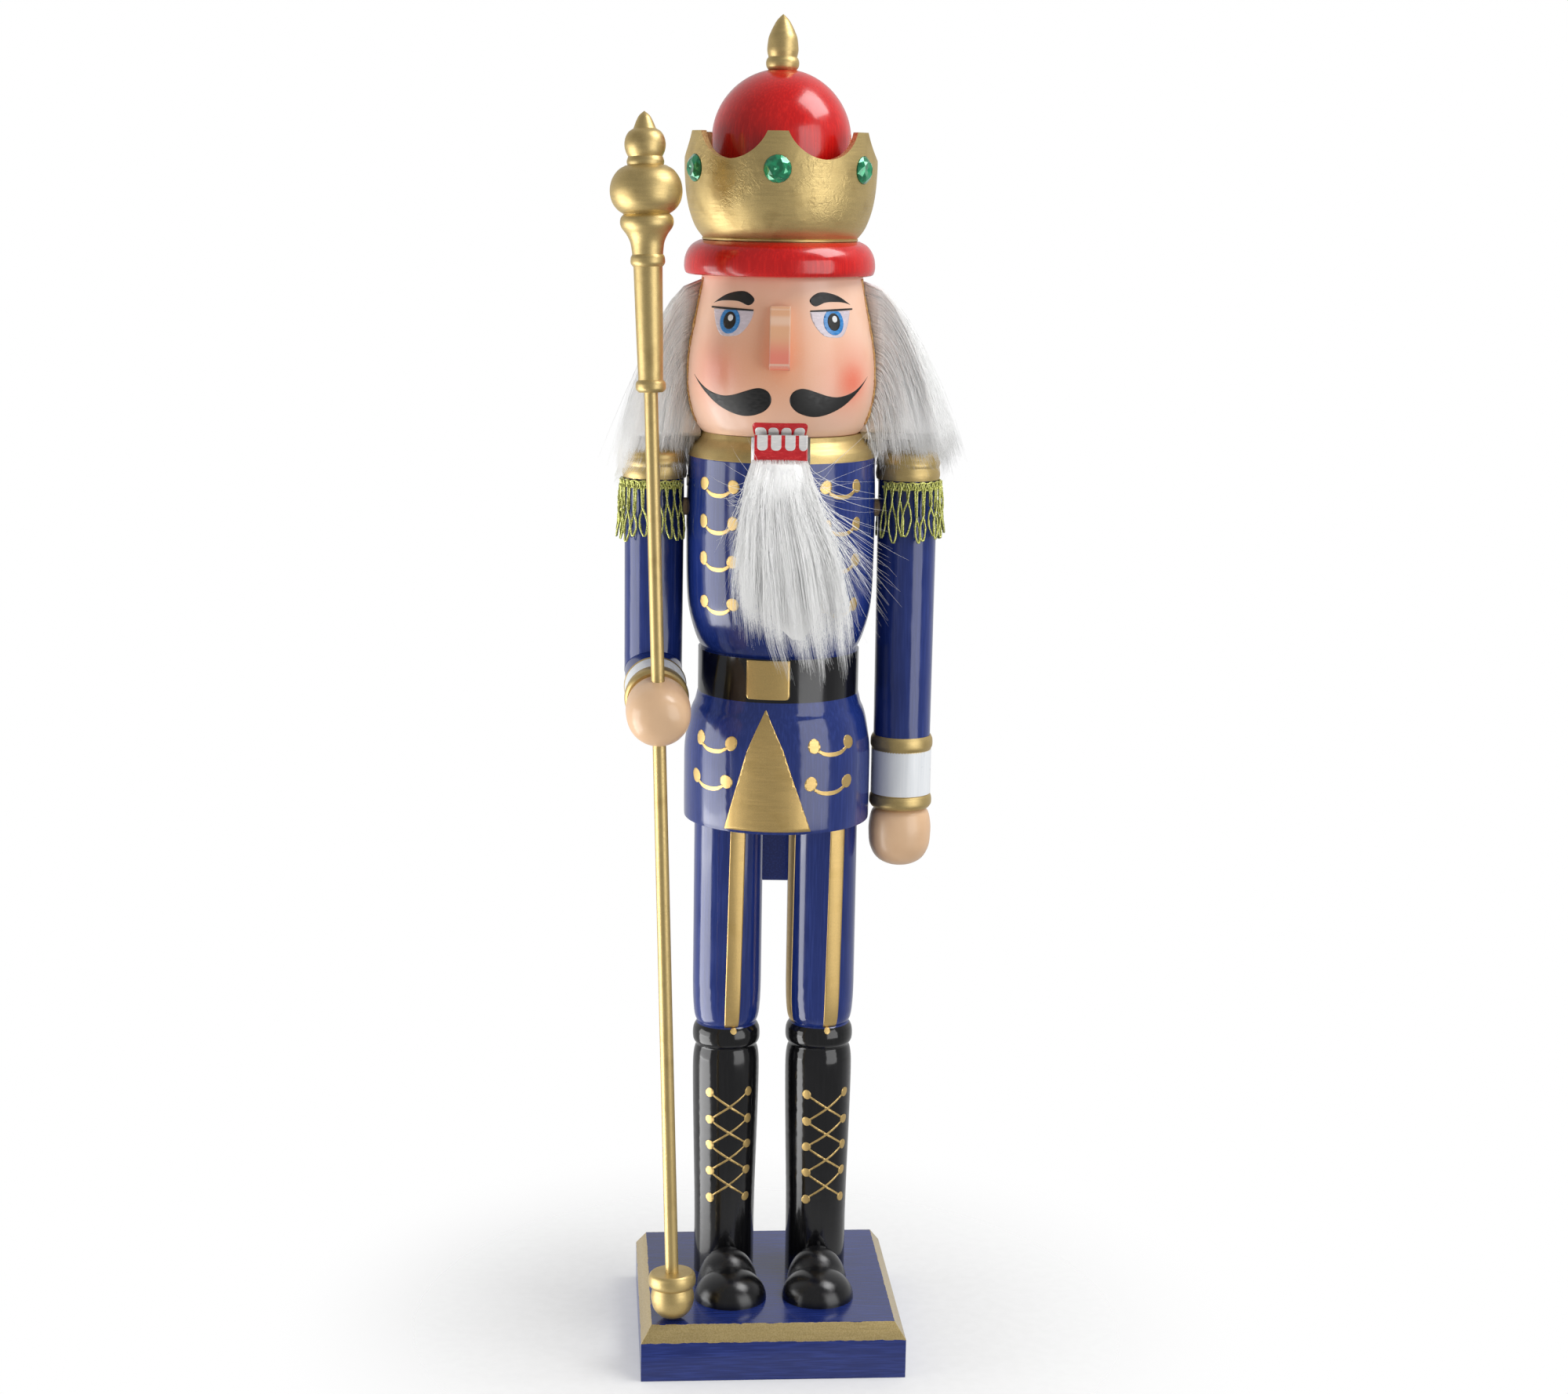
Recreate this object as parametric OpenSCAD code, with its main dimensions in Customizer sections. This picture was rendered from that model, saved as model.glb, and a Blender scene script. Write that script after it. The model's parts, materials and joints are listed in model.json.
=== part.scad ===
// Nutcracker king: turned wooden pieces glued and dowelled on a square plinth, with a jaw worked by a lever
// that runs through the chest to the back, and a staff that slides in a bored hand.
// Millimetres, +Z up, the figure faces -Y. The origin is under the figure's axis, on the plinth's underside.

/* [Plinth] */
// Side of the square plinth
plinth_side = 121; // [112:1:130]
// Height of the plinth
plinth_h = 25.4; // [22:0.1:30]
// Width of the bevel round the top edge, seen from above
bevel_w = 4.9; // [3:0.1:7]
// Height of the bevel
bevel_h = 7.1; // [4:0.1:9]
// How far the plinth's centre lies in front of the figure's axis
plinth_forward = 10; // [8:0.5:11]
// How far the plinth's centre lies to the figure's right of the axis
plinth_aside = 1.4; // [0:0.1:2]

/* [Figure] */
// Height of each leg, from the plinth to the hem of the coat
leg_h = 223.6; // [215:0.1:230]
// Distance between the legs' axes
leg_spacing = 43.8; // [42:0.1:46]
// Height of the coat and collar
torso_h = 177.5; // [177:0.1:178]
// Height of the head
head_h = 70; // [69:0.1:71]
// Height of the red roll under the crown
brim_h = 15; // [14:0.1:16]
// Height of the crown to the tops of its points
crown_h = 47.5; // [46:0.1:49]
// Radius of the red dome inside the crown
dome_r = 31; // [29:0.1:33]
// Distance of the bent right arm from the figure's axis
right_arm_x = 56.7; // [56.6:0.1:57]
// Distance of the straight left arm from the figure's axis
left_arm_x = 58.7; // [58.5:0.1:59.5]
// How far the coat sits to the figure's left of the axis
coat_aside = 0.8; // [0.5:0.1:1]
// How far the legs stand to the figure's left of the axis
legs_aside = 0.9; // [0:0.1:1.5]
// How far the hat sits to the figure's right of the axis
hat_aside = 1.4; // [0:0.1:2]
// How far the face, jaw and chest slot are turned to the figure's right, in degrees
face_turn = 3.5; // [0:0.5:4]
// How far the nose is turned to the figure's right, in degrees
nose_turn = 5; // [0:0.5:6]

/* [Jaw lever] */
// Thickness of the lever board, across the figure
lever_w = 23.5; // [20:0.1:24]
// Width of the slot through the chest
slot_w = 26; // [25:0.1:27]
// Diameter of the cross pin
pin_d = 5; // [4:0.1:6]
// Radial clearance of the lever on its pin
pin_gap = 0.06; // [0.02:0.01:0.1]

/* [Staff] */
// Diameter of the rod
rod_d = 6; // [5:0.1:6.4]
// Radial clearance of the rod in the hand
rod_gap = 0.06; // [0.02:0.01:0.1]
// Lean of the staff to the figure's right, in degrees
staff_lean_side = 1.7; // [1.2:0.1:2]
// Lean of the staff towards the back, in degrees
staff_lean_back = 2.35; // [2:0.05:2.7]
// Height of the staff head
staff_head_h = 120; // [110:1:125]

/* [Crown] */
// Number of points
points = 6; // [5:1:7]
// Radius of each round notch between two points
notch_r = 18.2; // [17:0.1:19]
// Height of the lowest part of a notch above the crown's foot
notch_low = 35.5; // [35:0.1:37]
// Diameter of each stone
gem_d = 12; // [10:0.5:12]
// How far the crown is turned to the figure's right, in degrees
crown_turn = 6; // [0:0.5:15]

/* [Dowels] */
// Diameter of the dowels in the legs and shoulders
dowel_d = 8; // [6:0.5:9]
// Diameter of the dowels in the neck, elbow and wrists
small_dowel_d = 6; // [4:0.5:7]
// Diameter of the screws through the plinth
screw_d = 4; // [3.5:0.1:4.5]

/* [Hidden] */
$fn = 96;

// Levels of the stacked pieces
hem_z = plinth_h + leg_h;
neck_z = hem_z + torso_h;
brim_z = neck_z + head_h;
crown_z = brim_z + brim_h;
crown_floor = 12.5;
dome_z = crown_z + crown_floor;
dome_side = 31.5;
finial_seat_r = 6.5;
finial_z = dome_z + dome_side + sqrt(dome_r * dome_r - finial_seat_r * finial_seat_r);

// Legs, boots and shoes
leg_y = 1.5;
boot_r = 14.2;
dowel_r = dowel_d / 2;
small_dowel_r = small_dowel_d / 2;
leg_dowel_depth = 20;
toe_r = 16.7;
toe_h = 13.2;
toe_y = -34.6;
toe_in = 1.5;
instep_r = 14.2;
instep_h = 18;
instep_y = -20.5;

// Screws up through the plinth
screw_r = screw_d / 2;
screw_head_r = 4.2;
screw_head_h = 3;
screw_recess = 2;
screw_bite = 28;

// Pivot of the lever and the slot that it works in
pivot_y = -4;
pivot_z = neck_z - 22.5;
pin_r = pin_d / 2;
pin_len = 84;
slot_run = 60;

// Shoulders, elbow and hands
shoulder_dowel_z = hem_z + 143;
shoulder_dowel_len = 18;
arm_top = hem_z + 170.5;
sleeve_top = hem_z + 156.4;
cuff_z = hem_z + 3.8;
elbow_z = hem_z + 68;
forearm_drop = 14;
forearm_yaw = 1.6;
forearm_len = 34.5;
hand_len = 28;
hand_mid = 14.1;
wrist_dowel_in = 9;
wrist_dowel_out = 12;
hand_reach = forearm_len + hand_mid;
hand_centre = [-right_arm_x + hand_reach * sin(forearm_yaw) * cos(forearm_drop),
               -hand_reach * cos(forearm_yaw) * cos(forearm_drop),
               elbow_z - hand_reach * sin(forearm_drop)];

// Staff: its axis passes through the middle of the hand, and its foot rests on the plinth
foot_ball_r = 9.8;
foot_h = 22.1;
foot_rest_gap = 0.05;
rod_in_foot = 12;
rod_in_head = 20;
staff_rise = 421.6;
staff_dir_z = cos(staff_lean_back) * cos(staff_lean_side);
foot_to_hand = (hand_centre[2] - plinth_h - foot_rest_gap - foot_ball_r) / staff_dir_z + foot_ball_r;

// Crown
crown_wall = 3.8;
gem_seat_x = 42.25;
gem_z = crown_z + 31.4;
gem_r = gem_d / 2;
gem_gap = 0.1;

// Fringe sleeve
fringe_in = 14.2;
fringe_out = 17.6;
fringe_low = hem_z + 128.5;
fringe_top = hem_z + 155.8;
fringe_open = 38;

// Hair ring
hair_in = 43.4;
hair_back = 62;
hair_front = 14;

// Small allowance that lets a cutter pass a face
past = 1;

// A smooth curve through the points p, with n steps between neighbours
function bend(a, b, c, d, t) =
    0.5 * (2 * b + (c - a) * t + (2 * a - 5 * b + 4 * c - d) * t * t + (3 * b - a - 3 * c + d) * t * t * t);
function curve(p, n = 4) =
    let (last = len(p) - 1)
    [for (i = [0 : last - 1]) for (k = [0 : n - 1])
        bend(p[max(i - 1, 0)], p[i], p[i + 1], p[min(i + 2, last)], k / n), p[last]];

// An arc about c of radius r, from angle a to angle b in n steps
function arc(c, r, a, b, n = 10) = [for (i = [0 : n]) let (t = a + (b - a) * i / n) c + r * [cos(t), sin(t)]];

// Turned outlines: [radius, height above the piece's own foot]
leg_outline = concat(
    [[0, 0], [boot_r, 0]],
    curve([[boot_r, 26], [14.4, 41], [15, 66], [15.5, 89], [15.6, 103], [15.1, 109], [14.2, 112]]),
    curve([[14.2, 112.6], [15.5, 114.6], [15.8, 117.6], [15.4, 120.6], [14.2, 122.8]]),
    curve([[13.6, 123.4], [14.6, 125.2], [15.3, 128.5], [15.8, 135], [16, 143]]),
    [[16, leg_h - 0.6], [15.4, leg_h], [0, leg_h]]);

torso_outline = concat(
    [[0, 0], [42, 0]],
    curve([[42.4, 0.3], [42.8, 1.4], [42.9, 20], [42.8, 32], [41.9, 39.7], [40.6, 47], [39.5, 50.8],
           [38.2, 53.7], [37.2, 57.8]]),
    [[36.9, 58.8], [36.9, 78.6], [35.4, 79]],
    curve([[35.8, 79.4], [38, 84], [40.2, 91], [41.5, 97], [42.2, 103], [42.6, 112], [42.8, 124], [42.9, 145],
           [42.5, 159.6], [42.4, 166]]),
    curve([[42.4, 166.7], [40.6, 170.9], [37.4, 174.6], [36.6, 176.4]]),
    [[36.2, torso_h], [0, torso_h]]);

head_outline = concat(
    [[0, 0], [35.2, 0]],
    curve([[36, 0.5], [38.6, 4], [41.1, 10.5], [42.6, 17.5], [43.1, 24.5], [42.5, 35.5], [40.8, 45.5],
           [38, 59.5], [36.2, head_h - 1]], 5),
    [[35.8, head_h], [0, head_h]]);

brim_outline = concat(
    [[0, 0], [41, 0]],
    curve([[42, 0.5], [42.6, 2], [42.8, 4.2], [42.4, 7.6], [41, 10.9], [38.8, 13.4], [35.8, brim_h]]),
    [[0, brim_h]]);

crown_outside = concat(
    [[34, 0], [34.8, 0.3], [34.9, 1]],
    curve([[34.5, 1.2], [37.9, 5.8], [40.5, 12.5], [42, 19.5], [42.8, 28.5], [42.9, 36], [42.3, crown_h]]));
crown_inside = concat(
    curve([[42.3 - crown_wall, crown_h], [42.9 - crown_wall, 36], [42.8 - crown_wall, 28.5],
           [41.8 - crown_wall, 20], [39, crown_floor + 3.5]]),
    [[37, crown_floor], [0, crown_floor]]);

dome_outline = concat(
    [[0, 0], [dome_r, 0]],
    arc([0, dome_side], dome_r, 0, acos(finial_seat_r / dome_r), 20),
    [[0, finial_z - dome_z]]);

finial_tenon_r = 3;
finial_tenon = 12;
finial_outline = concat(
    [[0, -finial_tenon], [finial_tenon_r, -finial_tenon], [finial_tenon_r, 0]],
    curve([[6.2, 0], [7.1, 1.4], [7.35, 3], [7.1, 4.4], [6.4, 5.6]]),
    curve([[6.4, 5.9], [6.85, 7.8], [6.9, 9.8], [6.4, 13.8], [5.4, 16.5], [4.1, 19.2], [2.5, 21.8],
           [0, 24.2]]));

// Shoulder cap shared by both arms, above the sleeve
cap_outline = concat(
    curve([[14.3, 0], [14.7, 2.4], [14.2, 5.4]]),
    curve([[14.2, 5.6], [14.6, 7.4], [13.9, 9.6]]),
    curve([[13.9, 9.8], [13, 11.8], [9.5, 13.3], [4.5, 14], [0, 14.1]]));

// Gold ring next to each hand: [radius, distance from the wrist]
wrist_ring = concat(
    [[0, 0], [13.4, 0]],
    curve([[13.6, 0.3], [14.4, 1.6], [14.5, 3.4], [14.2, 5.2], [13.6, 6.2]]),
    [[13.9, 6.6]]);

// Straight arm's cuff, with a second gold ring at its upper end
cuff_len = 34;
cuff_outline = concat(
    wrist_ring,
    [[13.9, 27]],
    curve([[13.6, 27.4], [14.3, 28.8], [14.4, 30.6], [14.2, 32.4], [13.4, cuff_len]]));

// Bent arm's short cuff and the sleeve behind it
sleeve_low_r = 13.1;
forearm_outline = concat(
    wrist_ring,
    curve([[13.9, 15.1], [14.2, 15.9], [13.9, 16.7]]),
    [[sleeve_low_r, 16.9], [sleeve_low_r, 2 * forearm_len], [0, 2 * forearm_len]]);

hand_outline = concat(
    [[0, 0]],
    curve([[10.5, 0], [13.1, 2.6], [14.3, 8], [14.4, 13], [13.7, 19], [10.8, 24.4], [5.6, 27.4],
           [0, hand_len]]));

staff_head_outline = concat(
    [[0, 0]],
    curve([[5.2, 0], [6.4, 1.2], [6.6, 2.7], [6.4, 4.2], [5.4, 5.4]]),
    curve([[5.4, 6.4], [5.7, 18], [6, 34.4], [6.3, 54]], 2),
    curve([[6.6, 54.2], [7.4, 55.4], [7.5, 56.7], [7.3, 58.2], [6.7, 59.2]]),
    curve([[6.8, 60.6], [7.4, 64.4], [8.9, 67.7], [10.8, 70.3], [11.6, 72.5], [11.3, 74.9], [10, 76.4]]),
    curve([[10.1, 76.6], [12.6, 78.4], [14.8, 81.6], [15.7, 86.2], [14.8, 91], [12.1, 95], [8.8, 97]]),
    curve([[7.8, 97.1], [8.1, 98.6], [7.7, 100.1]]),
    curve([[7.4, 100.8], [8.4, 102.9], [8.9, 105.8], [8.4, 108.8], [7, 111.2], [4.9, 112.6]]),
    curve([[4.8, 112.8], [3.6, 115.8], [2.2, 118.2], [0, staff_head_h]]));

staff_foot_outline = concat(
    [[0, 0]],
    curve([[2, 0.15], [5.6, 1.7], [8.6, 5], [9.8, 9.4], [9.6, 12.6], [8.9, 15]]),
    curve([[9.4, 15.1], [10.6, 16.6], [10.8, 18.8], [10.4, 21], [9.4, foot_h]]),
    [[0, foot_h]]);

// Lever board seen from the figure's left: [Y, height above the pivot]
lever_outline = concat(
    [[-41.8, 24.4], [-41.8, -7]],
    curve([[-39, -10.8], [-20, -14], [-4, -18], [14, -26], [28, -37], [38, -48], [43, -58], [44.3, -76]]),
    [[44.6, -196], [45.4, -199], [53.6, -199], [54.6, -196]],
    curve([[54.8, -100], [54.6, -62], [52.6, -40], [46, -24], [34, -12], [18, 1], [6, 8.4], [-6, 11],
           [-16, 13], [-23, 16.6], [-27, 22.1]]),
    [[-37.6, 22.1], [-38.6, 24.4]]);

// Slot seen from the same side
slot_outline = [[-slot_run, -26], [-6, -28], [slot_run, -70], [slot_run, 30], [-slot_run, 30]];

// Beard seen from the front: [X, height above the hem]
beard_outline = concat(
    [[14.5, 168.5], [-13, 168.5]],
    curve([[-15, 150], [-19, 128], [-21, 105], [-18, 84], [-8, 70], [6, 64], [18, 70], [27, 86], [27, 112],
           [21, 142]], 3));
beard_front = -57;
beard_back = -43.4;
beard_patch = [21, 14];

module turned(outline) { rotate_extrude() polygon(outline); }

// Turns what belongs to the face to the way that it looks
module faced() { rotate([0, 0, -face_turn]) children(); }

function leg_x(side) = side * leg_spacing / 2 + legs_aside;
function arm_x(side) = side < 0 ? -right_arm_x : left_arm_x;

module at_legs() { for (side = [-1, 1]) translate([leg_x(side), leg_y, 0]) children(); }

module at_hat() { translate([-hat_aside, 0, 0]) children(); }

// Puts a shape that runs along +Z onto the staff's axis, from the foot's underside
module on_staff() {
    translate(hand_centre)
    rotate([-staff_lean_back, -staff_lean_side, 0])
    translate([0, 0, -foot_to_hand])
    children();
}

// Puts a shape that runs along +Z onto the bent arm's forearm, from the elbow
module on_forearm() {
    translate([arm_x(-1), 0, elbow_z])
    rotate([0, 0, forearm_yaw])
    rotate([90 + forearm_drop, 0, 0])
    children();
}

// Tips a shape that runs along +Z square to the elbow's mitred face
module on_elbow() {
    translate([arm_x(-1), 0, elbow_z])
    rotate([0, 0, forearm_yaw])
    rotate([-(90 - forearm_drop) / 2, 0, 0])
    children();
}

module profile_bar(outline, width) {
    translate([-width / 2, 0, 0]) rotate([90, 0, 90]) linear_extrude(width) polygon(outline);
}

module screw(gap_below) {
    translate([0, 0, screw_recess]) cylinder(r1 = screw_head_r, r2 = screw_r, h = screw_head_h);
    translate([0, 0, screw_recess + screw_head_h])
    cylinder(r = screw_r, h = plinth_h + screw_bite - screw_recess - screw_head_h);
    if (gap_below) translate([0, 0, -past]) cylinder(r = screw_head_r, h = screw_recess + past);
}

// Plinth outline across its width, with the bevel on both upper edges
module plinth_bar() {
    half = plinth_side / 2;
    profile_bar([[-half, 0], [half, 0], [half, plinth_h - bevel_h], [half - bevel_w, plinth_h],
                 [bevel_w - half, plinth_h], [-half, plinth_h - bevel_h]], plinth_side);
}

module base() {
    color("midnightblue")
    difference() {
        translate([-plinth_aside, -plinth_forward, 0])
        intersection() {
            plinth_bar();
            rotate([0, 0, 90]) plinth_bar();
        }
        at_legs() screw(true);
    }
}

module base_screws() { color("silver") at_legs() screw(false); }

module leg(side) {
    color("darkblue")
    translate([leg_x(side), leg_y, plinth_h])
    difference() {
        turned(leg_outline);
        translate([0, 0, -past]) cylinder(r = screw_r, h = screw_bite + past);
        translate([0, 0, leg_h - leg_dowel_depth]) cylinder(r = dowel_r, h = leg_dowel_depth + past);
    }
}

module leg_dowels() {
    color("burlywood")
    at_legs() translate([0, 0, hem_z - leg_dowel_depth]) cylinder(r = dowel_r, h = 2 * leg_dowel_depth);
}

// A shoe is a low toe cap and a higher instep, hollowed at the back to fit the boot
module shoe(side) {
    color("black")
    translate([leg_x(side), 0, plinth_h])
    difference() {
        union() {
            translate([-side * toe_in, toe_y, 0])
            turned([for (i = [0 : 12]) let (t = 90 * i / 12) [toe_r * cos(t), toe_h * sin(t)], [0, 0]]);
            translate([-side * toe_in / 2, instep_y, 0])
            turned([for (i = [0 : 12]) let (t = 90 * i / 12) [instep_r * cos(t), instep_h * sin(t)], [0, 0]]);
        }
        translate([0, leg_y, -past]) cylinder(r = boot_r, h = instep_h + 2 * past);
    }
}

module torso() {
    color("mediumblue")
    difference() {
        translate([coat_aside, 0, hem_z]) turned(torso_outline);
        faced() translate([0, 0, pivot_z]) profile_bar(slot_outline, slot_w);
        at_pivot() cylinder(r = pin_r, h = 2 * left_arm_x, center = true);
        at_legs() translate([0, 0, hem_z - past]) cylinder(r = dowel_r, h = leg_dowel_depth + past);
        shoulder_dowels();
        neck_dowels();
    }
}

// Lays a shape that runs along Z onto the axis of the cross pin
module at_pivot() { faced() translate([0, pivot_y, pivot_z]) rotate([0, 90, 0]) children(); }

module lever_pin() { color("silver") at_pivot() cylinder(r = pin_r, h = pin_len, center = true); }

module head_solid() { translate([0, 0, neck_z]) turned(head_outline); }

module head() {
    color("peachpuff")
    difference() {
        head_solid();
        neck_dowels();
        hat_dowel();
    }
}

module neck_dowels() {
    neck_dowel_x = 24;
    neck_dowel_len = 26;
    color("burlywood")
    for (side = [-1, 1])
        translate([side * neck_dowel_x, 0, neck_z - neck_dowel_len / 2])
        cylinder(r = small_dowel_r, h = neck_dowel_len);
}

// Wedge nose, its back fitted to the turned face
module nose() {
    color("salmon")
    difference() {
        rotate([0, 0, -nose_turn])
        translate([0, 0, neck_z])
        profile_bar([[-36, 57.6], [-41.8, 57.9], [-43.2, 56.2], [-50.2, 33.4], [-49.6, 31.6], [-40, 29.6]],
                    9);
        head_solid();
    }
}

// Ring of fur round the back and sides of the head, wider towards the shoulders
module hair() {
    color("white")
    faced()
    intersection() {
        rotate([0, 0, -hair_front])
        rotate_extrude(angle = 180 + 2 * hair_front)
        translate([0, neck_z])
        polygon(concat([[hair_in, -4.2], [hair_in, head_h - 0.4]],
                       curve([[45.5, head_h - 0.4], [52, 60], [61, 44], [70, 24], [75.5, 6], [75.5, -3]], 3),
                       [[72, -5.2]]));
        translate([-100, -hair_back, neck_z - 10]) cube([200, 2 * hair_back, 100]);
    }
}

module hat_brim() {
    color("red")
    difference() {
        at_hat() translate([0, 0, brim_z]) turned(brim_outline);
        hat_dowel();
    }
}

module hat_dowel() {
    hat_dowel_r = 5;
    dowel_in_head = 16;
    dowel_in_dome = 15;
    color("burlywood")
    at_hat()
    translate([0, 0, brim_z - dowel_in_head])
    cylinder(r = hat_dowel_r, h = dowel_in_head + brim_h + crown_floor + dowel_in_dome);
}

module crown() {
    color("gold")
    difference() {
        at_hat() translate([0, 0, crown_z]) turned(concat([[0, 0]], crown_outside, crown_inside));
        for (i = [0 : points - 1])
            at_hat()
            rotate([0, 0, -90 - crown_turn + (i + 0.5) * 360 / points])
            translate([0, 0, crown_z + notch_low + notch_r])
            rotate([0, 90, 0]) cylinder(r = notch_r, h = 2 * dome_r);
        at_gems() cylinder(r = gem_r + gem_gap, h = crown_wall);
        hat_dowel();
    }
}

module at_gems() {
    for (i = [0 : points - 1])
        at_hat()
        rotate([0, 0, -90 - crown_turn + i * 360 / points])
        translate([gem_seat_x, 0, gem_z])
        rotate([0, 90, 0])
        children();
}

// Flat-backed stones with a sloping rim and a table
module gems() {
    girdle_h = 0.8;
    table_r = 3.6;
    facet_h = 2;
    color("green")
    at_gems()
    turned([[0, 0], [gem_r, 0], [gem_r, girdle_h], [table_r, girdle_h + facet_h], [0, girdle_h + facet_h]]);
}

module crown_dome() {
    color("red")
    difference() {
        at_hat() translate([0, 0, dome_z]) turned(dome_outline);
        hat_dowel();
        at_hat()
        translate([0, 0, finial_z - finial_tenon]) cylinder(r = finial_tenon_r, h = finial_tenon + past);
    }
}

module finial() { color("gold") at_hat() translate([0, 0, finial_z]) turned(finial_outline); }

// Everything above an arm's sleeve end: the tapered sleeve and its gold shoulder cap
module sleeve(low) {
    turned(concat([[0, low], [sleeve_low_r, low], [13.5, sleeve_top]],
                  [for (p = cap_outline) p + [0, sleeve_top]]));
}

module shoulder_dowels() {
    color("burlywood")
    for (side = [-1, 1])
        translate([arm_x(side) - side * (dowel_r + shoulder_dowel_len / 2 + 1), 0, shoulder_dowel_z])
        rotate([0, 90, 0]) cylinder(r = dowel_r, h = shoulder_dowel_len, center = true);
}

module right_upper_arm() {
    low = elbow_z - 30;
    color("darkblue")
    difference() {
        translate([arm_x(-1), 0, 0]) sleeve(low);
        on_elbow() translate([-50, -50, -100]) cube([100, 100, 100]);
        shoulder_dowels();
        elbow_dowel();
    }
}

module right_forearm() {
    color("white")
    difference() {
        on_forearm()
        turned([for (i = [len(forearm_outline) - 1 : -1 : 0])
            [forearm_outline[i][0], forearm_len - forearm_outline[i][1]]]);
        on_elbow() translate([-50, -50, 0]) cube([100, 100, 100]);
        elbow_dowel();
        wrist_dowel_right();
    }
}

module elbow_dowel() {
    elbow_dowel_len = 18;
    color("burlywood") on_elbow() cylinder(r = small_dowel_r, h = elbow_dowel_len, center = true);
}

module wrist_dowel_right() {
    on_forearm()
    translate([0, 0, forearm_len - wrist_dowel_out])
    cylinder(r = small_dowel_r, h = wrist_dowel_out + wrist_dowel_in);
}

module wrist_dowel_left() {
    translate([left_arm_x, 0, cuff_z - wrist_dowel_in])
    cylinder(r = small_dowel_r, h = wrist_dowel_out + wrist_dowel_in);
}

module wrist_dowels() {
    color("burlywood") {
        wrist_dowel_right();
        wrist_dowel_left();
    }
}

// The bent arm's hand, bored for the staff
module right_hand() {
    color("peachpuff")
    difference() {
        on_forearm() translate([0, 0, forearm_len]) turned(hand_outline);
        on_staff()
        translate([0, 0, foot_to_hand - hand_len]) cylinder(r = rod_d / 2 + rod_gap, h = 2 * hand_len);
        wrist_dowel_right();
    }
}

module left_arm() {
    color("darkblue")
    difference() {
        union() {
            translate([left_arm_x, 0, 0]) sleeve(cuff_z + cuff_len);
            translate([left_arm_x, 0, cuff_z]) turned(concat(cuff_outline, [[0, cuff_len]]));
        }
        shoulder_dowels();
        wrist_dowel_left();
    }
}

module left_hand() {
    color("peachpuff")
    difference() {
        translate([left_arm_x, 0, cuff_z]) mirror([0, 0, 1]) turned(hand_outline);
        wrist_dowel_left();
    }
}

// Sleeve of looped cord round the arm, open where the arm meets the chest
module fringe(side) {
    color("yellowgreen")
    translate([arm_x(side), 0, 0])
    rotate([0, 0, (side < 0 ? 0 : 180) + fringe_open])
    rotate_extrude(angle = 360 - 2 * fringe_open)
    polygon([[fringe_in, fringe_low], [fringe_out, fringe_low], [fringe_out - 1, fringe_top],
             [fringe_in, fringe_top]]);
}

module jaw_lever() {
    color("navy")
    difference() {
        faced() translate([0, 0, pivot_z]) profile_bar(lever_outline, lever_w);
        at_pivot() cylinder(r = pin_r + pin_gap, h = 2 * lever_w, center = true);
    }
}

// Fur beard hanging down the chest from the front of the jaw
module beard() {
    jaw_front = -41.8;
    color("white")
    faced()
    translate([0, 0, hem_z]) {
        translate([0, beard_back, 0]) rotate([90, 0, 0]) linear_extrude(beard_back - beard_front)
        polygon(beard_outline);
        translate([-beard_patch[0] / 2, beard_back - past, 168.5 - beard_patch[1]])
        cube([beard_patch[0], jaw_front - beard_back + past, beard_patch[1]]);
    }
}

module staff_rod() {
    color("goldenrod")
    on_staff()
    translate([0, 0, foot_h - rod_in_foot])
    cylinder(r = rod_d / 2, h = staff_rise - foot_h + rod_in_foot + rod_in_head);
}

module staff_head() {
    color("gold")
    difference() {
        on_staff() translate([0, 0, staff_rise]) turned(staff_head_outline);
        staff_rod();
    }
}

module staff_foot() {
    color("gold")
    difference() {
        on_staff() turned(staff_foot_outline);
        staff_rod();
    }
}

base();
base_screws();
leg(-1);  // right_leg
leg(1);  // left_leg
leg_dowels();
shoe(-1);  // right_shoe
shoe(1);  // left_shoe
torso();
lever_pin();
head();
neck_dowels();
nose();
hair();
hat_brim();
hat_dowel();
crown();
crown_dome();
finial();
gems();
right_upper_arm();
right_forearm();
elbow_dowel();
right_hand();
left_arm();
left_hand();
shoulder_dowels();
wrist_dowels();
fringe(-1);  // right_fringe
fringe(1);  // left_fringe
jaw_lever();
beard();
staff_rod();
staff_head();
staff_foot();
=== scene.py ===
"""Looks of the nutcracker king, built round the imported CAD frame.

Blender works in metres, +Z up, and the figure faces -Y. Sizes below are in millimetres. A place on a turned
piece is a turn round its axis, in degrees from the front towards the figure's left, and a height.
"""
import json
import math

import bmesh
import bpy
import numpy as np
from mathutils import Matrix, Vector
from mathutils.bvhtree import BVHTree
from mathutils.geometry import tessellate_polygon


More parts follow.
